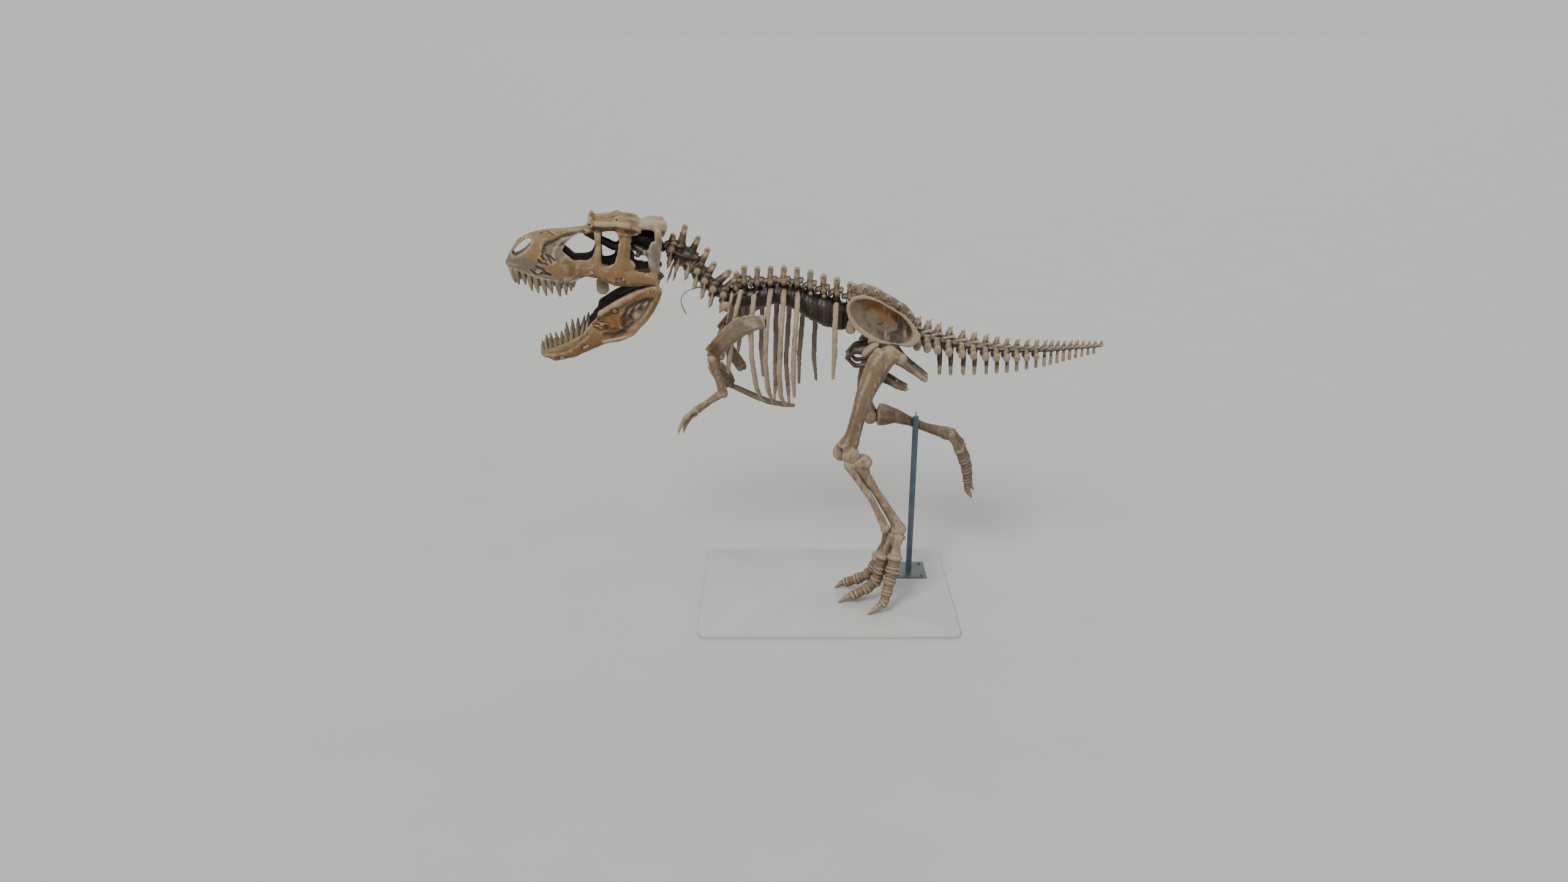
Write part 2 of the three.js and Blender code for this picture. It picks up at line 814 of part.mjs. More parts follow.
function ilium(s) {
  const [cx, cz] = [850, 2610];
  const scaled = (y, factor, out = 1) =>
    iliumOutline.map(([x, z]) => {
      const f = factor + (grow ? grow / 200 : 0);
      return new THREE.Vector3(cx + (x - cx) * f, s * (y + out * grow), cz + (z - cz) * f);
    });
  return within(trunkFrame, () => {
    const blade = loft(
      [scaled(130, 0.7, -1), scaled(168, 0.97), scaled(210, 1), scaled(212, 0.92), scaled(166, 0.5)],
      new THREE.Vector3(cx, s * (128 - grow), cz),
      new THREE.Vector3(cx, s * (164 + grow), cz),
    );
    const socket = limb(
      [[760, s * 172, 2480, 34, 70], [860, s * 160, 2430, 40, 78], [960, s * 168, 2450, 34, 60]],
      { around: 6 },
    );
    const lobe = limb([[600, s * 150, 2600, 34, 52], [580, s * 140, 2500, 26, 44]], { around: 6 });
    return joined([blade, socket, lobe]);
  });
}

function pubis() {
  return within(trunkFrame, () =>
    joined([
      ...sides.flatMap((s) => [
        limb(
          [
            [880, s * 128, 2370, 40, 56],
            [790, s * 116, 2340, 38, 62],
            [690, s * 104, 2316, 30, 40],
            [600, s * 96, 2318, 26, 30],
            [560, s * 92, 2258, 26, 28],
            [606, s * 90, 2196, 26, 26],
            [700, s * 92, 2176, 26, 28],
            [800, s * 100, 2220, 30, 34],
            [860, s * 110, 2290, 34, 40],
          ],
          { around: 5, rings: 7 },
        ),
        limb(
          [
            [870, s * 116, 2330, 36, 54],
            [846, s * 98, 2170, 30, 48],
            [892, s * 82, 2062, 28, 40],
            [1010, s * 58, 1998, 28, 35],
            [1096, s * 46, 1962, 26, 30],
          ],
          { around: 5, dome: 0.8 },
        ),
      ]),
      limb([[566, -96, 2250, 26], [566, 96, 2250, 26]], { around: 4, across: [1, 0, 0] }),
      limb([[1000, -66, 2004, 28], [1000, 66, 2004, 28]], { around: 4, across: [1, 0, 0] }),
    ]),
  );
}

function ischium() {
  return within(trunkFrame, () =>
    joined([
      ...sides.map((s) =>
        limb(
          [
            [930, s * 120, 2390, 34, 66],
            [985, s * 104, 2270, 32, 60],
            [1060, s * 84, 2208, 30, 44],
            [1160, s * 66, 2136, 30, 36],
            [1262, s * 54, 2056, 30, 36],
          ],
          { around: 6, dome: 0.8 },
        ),
      ),
      limb([[1150, -70, 2140, 30], [1150, 70, 2140, 30]], { around: 4, across: [1, 0, 0] }),
    ]),
  );
}

// Hind limbs. The left one stands, the right one is lifted back.
const hindLimb = {
  "-1": {
    shaft: [
      [880, -290, 2360, 58, 108],
      [816, -298, 2270, 63, 116],
      [705, -304, 2005, 63, 87],
      [650, -308, 1800, 58, 72],
      [606, -316, 1620, 60, 74],
      [556, -322, 1500, 81, 103],
    ],
    trochanter: [[890, -300, 2320, 54, 92], [965, -300, 2346, 50, 66], [1018, -296, 2306, 38, 44]],
    head: [[860, -290, 2370, 52, 60], [925, -200, 2386, 44, 50], [935, -150, 2386, 52, 56]],
    condyles: [
      [[506, -286, 1452], [74, 54, 82]],
      [[588, -360, 1444], [80, 52, 88]],
    ],
    tibia: [
      [640, -318, 1398, 91, 119],
      [664, -324, 1326, 75, 98],
      [722, -334, 1236, 50, 64],
      [825, -348, 1092, 36, 41],
      [925, -360, 930, 39, 46],
      [1004, -370, 800, 52, 55],
      [1036, -374, 724, 71, 64],
    ],
    fibula: [
      [560, -372, 1352, 32, 42],
      [640, -384, 1230, 21, 28],
      [790, -396, 1020, 18, 20],
      [890, -404, 866, 19, 22],
      [916, -406, 746, 32, 38],
    ],
  },
  1: {
    shaft: [
      [880, 290, 2350, 56, 102],
      [836, 290, 2250, 60, 106],
      [756, 276, 1960, 60, 84],
      [742, 272, 1820, 56, 71],
      [752, 268, 1700, 60, 76],
      [776, 264, 1620, 76, 91],
    ],
    trochanter: [[890, 298, 2320, 54, 88], [960, 298, 2330, 48, 62], [1006, 294, 2296, 38, 42]],
    head: [[870, 288, 2370, 52, 60], [925, 200, 2386, 44, 50], [935, 150, 2386, 52, 56]],
    condyles: [
      [[800, 226, 1586], [66, 46, 66]],
      [[808, 302, 1592], [64, 44, 62]],
    ],
    tibia: [
      [880, 258, 1600, 92, 118],
      [950, 250, 1596, 78, 106],
      [1040, 240, 1590, 57, 73],
      [1180, 234, 1540, 42, 47],
      [1320, 238, 1484, 42, 45],
      [1450, 252, 1438, 54, 54],
      [1524, 262, 1414, 71, 64],
    ],
    fibula: [
      [868, 330, 1580, 31, 38],
      [960, 326, 1560, 20, 26],
      [1180, 318, 1520, 17, 19],
      [1400, 314, 1440, 18, 22],
      [1506, 316, 1400, 31, 34],
    ],
  },
};

function femur(s) {
  const { shaft, trochanter, head, condyles } = hindLimb[s];
  return joined([
    limb(shaft, { around: 6 }),
    limb(trochanter, { around: 5, dome: 0.8 }),
    limb(head, { around: 5, dome: 0.6, across: [1, 0, 0] }),
    ...condyles.map(([at, size]) => ball(at, size, 6)),
  ]);
}

function tibia(s) {
  return limb(hindLimb[s].tibia, { around: 7 });
}

function fibula(s) {
  return limb(hindLimb[s].fibula, { around: 5 });
}

// Ankle to toe tips: joint centres of the three long foot bones and their toes
const foot = {
  "-1": [
    {
      bone: [[950, -322, 694], [925, -322, 560], [888, -318, 452]],
      toe: [[880, -316, 420], [842, -292, 290], [788, -264, 200], [690, -232, 138], [596, -200, 86]],
      claw: [[580, -195, 78], [540, -182, 58], [484, -165, 3]],
    },
    {
      bone: [[990, -378, 694], [950, -384, 570], [910, -394, 490]],
      toe: [[908, -398, 482], [880, -410, 330], [850, -418, 226], [760, -425, 138], [650, -430, 82]],
      claw: [[634, -431, 76], [580, -433, 58], [500, -435, 3]],
    },
    {
      bone: [[1036, -430, 690], [1016, -442, 580], [1006, -462, 508]],
      toe: [[1005, -466, 500], [984, -502, 376], [956, -534, 280], [932, -570, 180], [910, -600, 100]],
      claw: [[896, -612, 84], [836, -634, 60], [760, -655, 3]],
    },
  ],
  1: [
    {
      bone: [[1548, 192, 1434], [1602, 180, 1344], [1632, 182, 1284]],
      toe: [[1634, 183, 1276], [1684, 188, 1154], [1712, 190, 1054], [1728, 192, 954], [1738, 194, 874]],
      claw: [[1742, 194, 860], [1756, 196, 820], [1790, 198, 774]],
    },
    {
      bone: [[1562, 266, 1424], [1620, 268, 1345], [1652, 270, 1276]],
      toe: [[1654, 271, 1266], [1712, 275, 1140], [1742, 278, 1020], [1758, 280, 915], [1762, 282, 850]],
      claw: [[1764, 282, 838], [1776, 284, 796], [1812, 286, 742]],
    },
    {
      bone: [[1572, 340, 1404], [1640, 354, 1326], [1676, 358, 1270]],
      toe: [[1679, 359, 1260], [1736, 364, 1136], [1766, 368, 1036], [1782, 370, 956], [1788, 372, 886]],
      claw: [[1790, 372, 872], [1806, 374, 826], [1840, 376, 772]],
    },
  ],
};

function metatarsus(s) {
  const bones = foot[s].map(({ bone: [top, middle, end] }) =>
    limb([[...top, 44, 52], [...middle, 35, 40], [...end, 45, 52]], { around: 6, dome: 0.6 }),
  );
  const [inner, , outer] = foot[s].map(({ bone }) => bone[0]);
  const link = limb([[...inner, 32, 40], [...outer, 32, 40]], { around: 4, across: [1, 0, 0] });
  const heel = s < 0 ? [[1092, -386, 650], [1000, -382, 640]] : [[1552, 262, 1360], [1604, 264, 1372]];
  return joined([...bones, link, limb(heel.map((p) => [...p, 28, 30]), { around: 5, dome: 0.8 })]);
}

function toe(s, index) {
  const { toe: joints, claw } = foot[s][index];
  const scale = s > 0 ? 0.66 : 1;
  const stations = joints.slice(0, -1).flatMap((a, i) => {
    const b = joints[i + 1];
    const size = (72 - i * 6) * scale;
    const mix = (t) => a.map((value, axis) => value + (b[axis] - value) * t);
    return [
      [...mix(0.06), size, size * 0.92],
      [...mix(0.5), size * 0.72, size * 0.68],
    ];
  });
  const end = joints[joints.length - 1];
  const tip = claw.map((point, i) => [...point, [36, 28, 6][i] * scale, [40, 32, 7][i] * scale]);
  return limb([...stations, [...end, 44 * scale, 44 * scale], ...tip.slice(1)], { around: 6, dome: 0.5 });
}

// Tail
const tail = {
  start: 1130,
  end: 2880,
  spineX: [1150, 1240, 1330, 1432, 1548, 1652, 1762, 1860, 1956, 2050, 2144, 2234, 2316],
  smallStep: 62.8,
  small: 9,
};
const tailX = [
  ...tail.spineX,
  ...Array.from({ length: tail.small }, (_, i) => 2316 + tail.smallStep * (i + 1)),
];
const tailHeight = new THREE.CatmullRomCurve3(
  [[1100, 2478], [1400, 2402], [1650, 2350], [1900, 2308], [2150, 2284], [2400, 2272], [2900, 2250]].map(
    ([x, z]) => new THREE.Vector3(x, 0, z),
  ),
);

function tailPoint(x) {
  const back = x - 1100;
  const y = -24 - 0.0787 * back + 1.478e-4 * back * back;
  const z = tailHeight.getPoint(THREE.MathUtils.clamp((x - 1100) / 1800, 0, 1)).z;
  const far = (x - tail.start) / (tail.end - tail.start);
  return { y, z, far };
}

function tailCut(index, side) {
  const at = [1128, 1706, 2347, 2661][index];
  const { y, z } = tailPoint(at);
  const slope = -0.0787 + 2 * 1.478e-4 * (at - 1100);
  const normal = [side, side * slope, 0];
  return beyond([at, y, z], normal);
}

function tailRun(from, to) {
  const xs = tailX.slice(from, to);
  const rim = (x) => {
    const { far } = tailPoint(x);
    return THREE.MathUtils.lerp(58, 15, Math.max(0, far) ** 0.9);
  };
  const stations = [];
  const lead = from === 0 ? 1090 : tailX[from - 1];
  stations.push([lead, tailPoint(lead).y, tailPoint(lead).z, rim(lead)]);
  xs.forEach((x, i) => {
    const next = xs[i + 1] ?? tailX[from + i + 1] ?? x + 30;
    const [here, there] = [tailPoint(x), tailPoint((x + next) / 2)];
    const waist = from + i < tail.spineX.length;
    if (waist) {
      stations.push([x, here.y, here.z, rim(x) * 0.78]);
    }
    stations.push([(x + next) / 2, there.y, there.z, rim(x)]);
  });
  const pieces = [limb(stations, { around: 5, dome: 0.8 })];
  xs.forEach((x, i) => {
    const index = from + i;
    const { y, z, far } = tailPoint(x);
    const size = rim(x);
    const rise = THREE.MathUtils.lerp(122, 70, Math.min(1, far / 0.68)) * (far > 0.68 ? 1.95 - far * 1.4 : 1);
    const broad = index > 12 ? 0.62 : 0.46;
    pieces.push(
      limb(
        [
          [x - 4, y, z + size * 0.3, size * broad, size * 0.8],
          [x + rise * 0.16, y, z + rise * 0.9, size * broad * 1.1, size * 0.66],
        ],
        { around: 4, dome: 0.9 },
      ),
    );
    if (index < 12) {
      const fall = 100 - far * 70;
      sides.forEach((s) =>
        pieces.push(
          limb(
            [
              [x, y + s * size * 0.3, z, size * 0.56, size * 0.5],
              [x + 8, y + s * (size * 0.7 + fall * 0.5), z - fall * 0.84, 34 - far * 12, 24],
            ],
            { around: 4, across: [1, 0, 0] },
          ),
        ),
      );
    }
    if (index >= 2 && index <= 20) {
      const drop = Math.max(24, 312 - 0.175 * (x - 1430));
      pieces.push(
        limb(
          [
            [x + 40 * (1 - far), y, z - size * 0.5, size * 0.5, size * 0.6],
            [x + 56 * (1 - far), y, z - drop, 15, 19],
          ],
          { around: 4 },
        ),
      );
    }
  });
  return joined(pieces);
}

// Throat rod
function throatRod() {
  return limb(
    [
      [-655, 40, 2905, 9],
      [-725, 30, 2868, 8],
      [-830, 24, 2838, 8],
      [-888, 20, 2780, 8],
      [-893, 20, 2716, 8],
      [-856, 24, 2632, 8],
    ],
    { around: 5, rings: 10, dome: 1 },
  );
}

// Stand
const stand = {
  pipe: { at: [1218, 175], radius: 28, top: 1612 },
  pin: { radius: 5, height: 42 },
  plate: { size: 320, thick: 8 },
  base: { x: [-760, 1560], y: [-1000, 620], thick: 30 },
};

function standPipe() {
  const { at, radius, top } = stand.pipe;
  return joined([
    tube([...at, stand.plate.thick + gap], radius, top - stand.plate.thick - gap, 14),
    tube([...at, top - 5], stand.pin.radius, stand.pin.height + 5, 8),
  ]);
}

function standPlate() {
  const { at } = stand.pipe;
  const { size, thick } = stand.plate;
  const plate = new THREE.BoxGeometry(size, size, thick - gap);
  plate.translate(at[0], at[1], (thick - gap) / 2 + gap);
  const inset = size / 2 - 45;
  const bolts = sides.flatMap((sx) =>
    sides.map((sy) => tube([at[0] + sx * inset, at[1] + sy * inset, thick - 2], 13, 12, 6)),
  );
  return joined([solidOf(plate), ...bolts]);
}

function standBase() {
  const { x, y, thick } = stand.base;
  const corner = 60;
  const corners = [[x[1], y[1]], [x[0], y[1]], [x[0], y[0]], [x[1], y[0]]];
  const outline = corners.flatMap(([cx, cy], turn) =>
    [0, 1, 2].map((k) => {
      const angle = ((turn + k / 2) * Math.PI) / 2;
      const inward = [cx - Math.sign(cx - x[0] - 1) * corner, cy - Math.sign(cy - y[0] - 1) * corner];
      return [inward[0] + Math.cos(angle) * corner, inward[1] + Math.sin(angle) * corner];
    }),
  );
  const ring = (z) => outline.map(([px, py]) => new THREE.Vector3(px, py, z));
  return loft([ring(-thick), ring(0)], new THREE.Vector3(0, 0, -thick), new THREE.Vector3(0, 0, 0));
}

// Each piece, seated on its neighbours
const floorCut = beyond([0, 0, gap / 2], [0, 0, -1]);
const headPiece = (build) => within(headFrame, build);
const nodes = {};

nodes.skull = headPiece(skull).subtract(against(neckTop[0], neckTop[1].map((n) => -n)));
nodes.jaw = without(headPiece(jaw), grown(() => headPiece(skull)));
nodes.neck_front = without(neckFront(), against(...neckTop), beyond(...neckSplit));
nodes.neck_back = without(neckChain(2, 7), against(...neckSplit), beyond(...neckRoot));
nodes.throat_rod = without(throatRod(), grown(() => neckChain(2, 7)), grown(neckFront));
nodes.trunk_left = trunkHalf(-1);
nodes.trunk_right = trunkHalf(1);
const trunkGrown = grown(() => within(trunkFrame, trunkSolid));
nodes.sternum = without(sternum(), trunkGrown);
const sternumGrown = grown(sternum);
nodes.sacrum = sacrum();
const sacrumGrown = grown(sacrum);
const iliaGrown = {};
const label = { "-1": "left", 1: "right" };

sides.forEach((s) => {
  nodes[`scapula_${label[s]}`] = without(scapula(s), trunkGrown, sternumGrown);
  const scapulaGrown = grown(() => scapula(s));
  nodes[`humerus_${label[s]}`] = without(humerus(s), scapulaGrown, trunkGrown, sternumGrown);
  const humerusGrown = grown(() => humerus(s));
  nodes[`forearm_${label[s]}`] = without(forearm(s), humerusGrown, trunkGrown, sternumGrown);
  const forearmGrown = grown(() => forearm(s));
  nodes[`hand_${label[s]}`] = without(hand(s), forearmGrown, trunkGrown, sternumGrown, scapulaGrown);
  nodes[`ilium_${label[s]}`] = without(ilium(s), sacrumGrown, trunkGrown);
  iliaGrown[s] = grown(() => ilium(s));
});

const pelvisGrown = iliaGrown[-1].add(iliaGrown[1]).add(sacrumGrown);
nodes.pubis = without(pubis(), pelvisGrown);
nodes.ischium = without(ischium(), pelvisGrown, grown(pubis));
const hipGrown = joined([pelvisGrown, grown(pubis), grown(ischium)]);
const pipeGrown = grown(standPipe);

sides.forEach((s) => {
  nodes[`femur_${label[s]}`] = without(femur(s), hipGrown);
  const femurGrown = grown(() => femur(s));
  nodes[`tibia_${label[s]}`] = without(tibia(s), femurGrown, pipeGrown);
  const tibiaGrown = grown(() => tibia(s));
  nodes[`fibula_${label[s]}`] = without(fibula(s), femurGrown, tibiaGrown);
  nodes[`metatarsus_${label[s]}`] = without(metatarsus(s), tibiaGrown, grown(() => fibula(s)));
  const metatarsusGrown = grown(() => metatarsus(s));
  const done = [];
  ["inner", "middle", "outer"].forEach((name, i) => {
    nodes[`toe_${name}_${label[s]}`] = without(toe(s, i), metatarsusGrown, floorCut, ...done);
    done.push(grown(() => toe(s, i)));
  });
});

const tailLengths = [[0, 6], [6, 13], [13, 18], [18, 22]];
tailLengths.forEach(([from, to], i) => {
  const cuts = [tailCut(i, -1)];
  if (i + 1 < tailLengths.length) {
    cuts.push(tailCut(i + 1, 1));
  }
  nodes[`tail_${i + 1}`] = without(tailRun(from, to), ...cuts);
});

nodes.stand_pipe = standPipe();
nodes.stand_plate = standPlate();
nodes.stand_base = standBase();

// Paints: colour, roughness, metalness
const paints = {
  bone: [0xb99a72, 0.62, 0],
  darkBone: [0x5c4633, 0.5, 0],
  pipe: [0x3f4a55, 0.45, 0.4],
  plate: [0x363d3a, 0.5, 0.4],
  base: [0xb9b9b6, 0.8, 0],
};
const materials = Object.fromEntries(
  Object.entries(paints).map(([name, [color, roughness, metalness]]) => [
    name,
    new THREE.MeshStandardMaterial({ color, roughness, metalness }),
  ]),
);

function paintOf(name) {
  const stood = { stand_pipe: "pipe", stand_plate: "plate", stand_base: "base" };
  const dark = /^(neck|trunk|sternum|sacrum|pubis|throat)/.test(name);
  return materials[stood[name] ?? (dark ? "darkBone" : "bone")];
}

function groupOf(name) {
  const groups = {
    head: /^(skull|jaw|throat)/,
    neck: /^neck/,
    trunk: /^(trunk|sternum)/,
    arms: /^(scapula|humerus|forearm|hand)/,
    hips: /^(sacrum|ilium|pubis|ischium)/,
    legs: /^(femur|tibia|fibula|metatarsus|toe)/,
    tail: /^tail/,
    stand: /^stand/,
  };
  return Object.keys(groups).find((key) => groups[key].test(name));
}

const skeleton = new THREE.Group();
for (const [name, piece] of Object.entries(nodes)) {
  const mesh = largest(piece).getMesh();
  const geometry = new THREE.BufferGeometry();
  geometry.setAttribute("position", new THREE.Float32BufferAttribute(mesh.vertProperties, 3));
  geometry.setIndex(new THREE.Uint32BufferAttribute(mesh.triVerts, 1));
  const node = new THREE.Mesh(geometry, paintOf(name));
  node.name = name;
  const key = groupOf(name);
  let parent = skeleton.children.find((child) => child.name === `${key}_group`);
  if (!parent) {
    parent = new THREE.Group();
    parent.name = `${key}_group`;
    skeleton.add(parent);
  }
  parent.add(node);
}

// The origin lies under the middle of the whole, at the base's underside
const reach = new THREE.Box3().setFromObject(skeleton);
const middle = reach.getCenter(new THREE.Vector3());
skeleton.position.set(-middle.x, -middle.y, -reach.min.z);
const group = new THREE.Group();
group.add(skeleton);
group.updateMatrixWorld(true);

export default group;
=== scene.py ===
"""Tyrannosaurus skeleton: the finish of every cast bone, the steel support and the stage."""

import itertools
import json
import math

import bpy
import numpy as np
from mathutils import Matrix, Vector


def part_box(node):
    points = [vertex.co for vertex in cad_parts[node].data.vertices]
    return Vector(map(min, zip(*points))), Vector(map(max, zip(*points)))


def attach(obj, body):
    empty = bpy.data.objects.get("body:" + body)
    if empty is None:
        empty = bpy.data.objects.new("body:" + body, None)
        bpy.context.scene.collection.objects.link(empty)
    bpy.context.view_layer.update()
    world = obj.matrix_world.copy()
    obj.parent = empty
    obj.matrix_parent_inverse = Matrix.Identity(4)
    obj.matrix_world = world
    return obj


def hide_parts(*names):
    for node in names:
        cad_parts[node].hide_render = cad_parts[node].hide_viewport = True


bl_info = {
    "name": "Tyrannosaurus skeleton on a stand",
    "version": (1, 0, 0),
    "blender": (4, 5, 0),
    "location": "View3D > Sidebar > Skeleton",
    "description": "Casts the bones around the packed frame, paints them and sets the stage",
    "category": "Object",
}

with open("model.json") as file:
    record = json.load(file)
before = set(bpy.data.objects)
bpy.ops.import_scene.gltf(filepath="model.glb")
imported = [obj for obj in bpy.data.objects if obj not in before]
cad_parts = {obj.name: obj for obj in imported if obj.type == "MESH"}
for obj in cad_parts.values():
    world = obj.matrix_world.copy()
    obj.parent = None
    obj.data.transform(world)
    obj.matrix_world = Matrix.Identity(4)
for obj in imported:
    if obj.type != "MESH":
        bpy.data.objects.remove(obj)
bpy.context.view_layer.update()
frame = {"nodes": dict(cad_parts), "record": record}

# Where the sculptor's own coordinates lie in the frame: millimetres, the base's top at zero
PIPE_FOOT = Vector((1218, 175, 0))
pipe_low, pipe_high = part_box("stand_pipe")
board_low, board_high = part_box("stand_base")
SHIFT = Vector(
    (
        (pipe_low.x + pipe_high.x) / 2 - PIPE_FOOT.x / 1000,
        (pipe_low.y + pipe_high.y) / 2 - PIPE_FOOT.y / 1000,
        board_high.z,
    )
)
SIDES = (-1, 1)
SIDE_NAMES = {-1: "left", 1: "right"}


def turned(degrees, pivot, start):
    """A turn about an upright line, with the start brought to the pivot"""
    turn = Matrix.Rotation(math.radians(degrees), 4, "Z")
    return Matrix.Translation(Vector(pivot)) @ turn @ Matrix.Translation(-Vector(start))


TRUNK = turned(-4.5, (800, 0, 0), (800, 0, 0))
HEAD = turned(8, (-1026, 100, 0), (-1026, 0, 0))
PLAIN = Matrix.Identity(4)


def local(points, turn):
    """Frame points in the sculptor's millimetres, as an array"""
    back = np.array(turn.inverted())
    flat = (points - np.array(SHIFT)) * 1000
    return flat @ back[:3, :3].T + back[:3, 3]


# Sizes and colours that a user would change
def metres(name, words, value):
    return bpy.props.FloatProperty(name=name, description=words, default=value, unit="LENGTH")


class SkeletonSizes(bpy.types.PropertyGroup):
    head_grain: metres("Head grain", "Length of the facets of the skull and jaw", 0.007)
    bone_grain: metres("Bone grain", "Length of the facets of the other bones", 0.0068)
    trunk_grain: metres("Trunk grain", "Length of the facets of the rib cage", 0.0086)
    camera_height: metres("Camera height", "Height of the camera above the board", 5.097)
    camera_distance: metres("Camera distance", "From the camera to the skeleton's middle plane", 9.010)
    camera_tilt: bpy.props.FloatProperty(
        name="Camera tilt",
        description="How far the camera looks down",
        default=math.radians(22.1),
        unit="ROTATION",
    )
    camera_lens: bpy.props.FloatProperty(
        name="Camera lens",
        description="Focal length in millimetres on a 36 mm wide sensor",
        default=24.44,
    )


def colour(name, words, value):
    return bpy.props.FloatVectorProperty(
        name=name, description=words, default=value, size=4, subtype="COLOR", min=0, max=1
    )


class SkeletonColours(bpy.types.PropertyGroup):
    bone: colour("Bone", "Most of the pale cast bones", (0.180, 0.128, 0.080, 1))
    head: colour("Head", "Skull and lower jaw", (0.212, 0.136, 0.054, 1))
    teeth: colour("Teeth", "Tooth enamel", (0.225, 0.176, 0.115, 1))
    brown: colour("Brown", "Dark cast bones", (0.085, 0.055, 0.035, 1))
    # Lighter tone of raised places, partly wear and partly painted highlight, and of pale patches
    ridge: colour("Ridge", "Worn high places of the bones", (0.385, 0.305, 0.215, 1))
    # Warm ochre for stains, and for the painted shade under the brow
    ochre: colour("Ochre", "Warm stain in the skull, jaw and hips", (0.160, 0.062, 0.014, 1))
    # Near-black painted shade for hollows, pits and ambient occlusion; it also draws the dark streaks of the
    # teeth and hips
    shade_and_streaks: colour("Wash", "Dark wash in the hollows", (0.010, 0.006, 0.004, 1))
    grey: colour("Grey", "Grey-brown patches", (0.138, 0.108, 0.084, 1))
    # Near-black for dark bone such as the column, and for painted shade inside the braincase and in recesses
    dark: colour("Dark bone", "Column, braincase and recesses", (0.020, 0.013, 0.010, 1))
    pipe: colour("Pipe", "Blue-grey paint of the support pipe", (0.058, 0.078, 0.100, 1))
    plate: colour("Plate", "Dark paint of the foot plate", (0.055, 0.068, 0.062, 1))
    floor: colour("Floor", "Floor and board", (0.485, 0.485, 0.481, 1))


def sizes():
    return bpy.context.scene.skeleton_sizes


def colours():
    return bpy.context.scene.skeleton_colours


# Shader maths
class Value:
    """A number socket that can be reckoned with"""

    def __init__(self, paint, socket):
        self.paint = paint
        self.socket = socket

    def _math(self, operation, first, second=None, clamp=False):
        values = {0: first} if second is None else {0: first, 1: second}
        settings = {"operation": operation, "use_clamp": clamp}
        return self.paint.node("ShaderNodeMath", settings, values)

    def __add__(self, other):
        return self._math("ADD", self, other)

    __radd__ = __add__

    def __mul__(self, other):
        return self._math("MULTIPLY", self, other)

    __rmul__ = __mul__

    def __sub__(self, other):
        return self._math("SUBTRACT", self, other)

    def __rsub__(self, other):
        return self._math("SUBTRACT", other, self)

    def __pow__(self, other):
        return self._math("POWER", self, other)

    def clamped(self):
        return self._math("ADD", self, 0.0, clamp=True)

    def between(self, low, high):
        """From 0 at low to 1 at high, softly"""
        settings = {"interpolation_type": "SMOOTHSTEP", "clamp": True}
        values = {"Value": self, "From Min": low, "From Max": high}
        return self.paint.node("ShaderNodeMapRange", settings, values)


class Paint:
    """A material under construction"""

    def __init__(self, name):
        self.material = bpy.data.materials.new(name)
        self.material.use_nodes = True
        self.tree = self.material.node_tree
        self.tree.nodes.clear()
        self.output = self.tree.nodes.new("ShaderNodeOutputMaterial")
        self.shader = self.tree.nodes.new("ShaderNodeBsdfPrincipled")
        self.tree.links.new(self.shader.outputs[0], self.output.inputs[0])
        self.place = self.node("ShaderNodeTexCoord", {}, {}, "Object")

    def node(self, kind, settings, values, output=0):
        """Adds a node, sets it, fills or links its sockets and hands back one output"""
        made = self.tree.nodes.new(kind)
        for key, value in settings.items():
            setattr(made, key, value)
        for key, value in values.items():
            self.fill(made.inputs[key], value)
        return Value(self, made.outputs[output])

    def fill(self, socket, value):
        if isinstance(value, Value):
            self.tree.links.new(value.socket, socket)
        else:
            socket.default_value = value

    def noise(self, scale, detail=3.0, rough=0.55, place=None, stretch=None, bend=0.0):
        place = place or self.place
        if stretch:
            place = self.node("ShaderNodeMapping", {}, {"Vector": place, "Scale": stretch})
        values = {"Vector": place, "Scale": scale, "Detail": detail, "Roughness": rough}
        values["Distortion"] = bend
        return self.node("ShaderNodeTexNoise", {}, values, "Fac")

    def pits(self, scale):
        values = {"Vector": self.place, "Scale": scale, "Randomness": 1.0}
        return self.node("ShaderNodeTexVoronoi", {"feature": "F1"}, values, "Distance")

    def attribute(self, name):
        return self.node("ShaderNodeAttribute", {"attribute_name": name}, {}, "Fac")

    def mixed(self, share, first, second, blend="MIX"):
        settings = {"data_type": "RGBA", "blend_type": blend}
        made = self.tree.nodes.new("ShaderNodeMix")
        for key, value in settings.items():
            setattr(made, key, value)
        for socket, value in zip((made.inputs[0], made.inputs[6], made.inputs[7]), (share, first, second)):
            self.fill(socket, value)
        return Value(self, made.outputs[2])

    def bumped(self, height, strength, distance):
        values = {"Height": height, "Strength": strength, "Distance": distance}
        return self.node("ShaderNodeBump", {}, values, "Normal")

    def finish(self, base, rough, normal=None, metal=0.0, specular=0.4):
        self.fill(self.shader.inputs["Base Color"], base)
        self.fill(self.shader.inputs["Roughness"], rough)
        self.fill(self.shader.inputs["Metallic"], metal)
        self.fill(self.shader.inputs["Specular IOR Level"], specular)
        if normal:
            self.fill(self.shader.inputs["Normal"], normal)
        return self.material


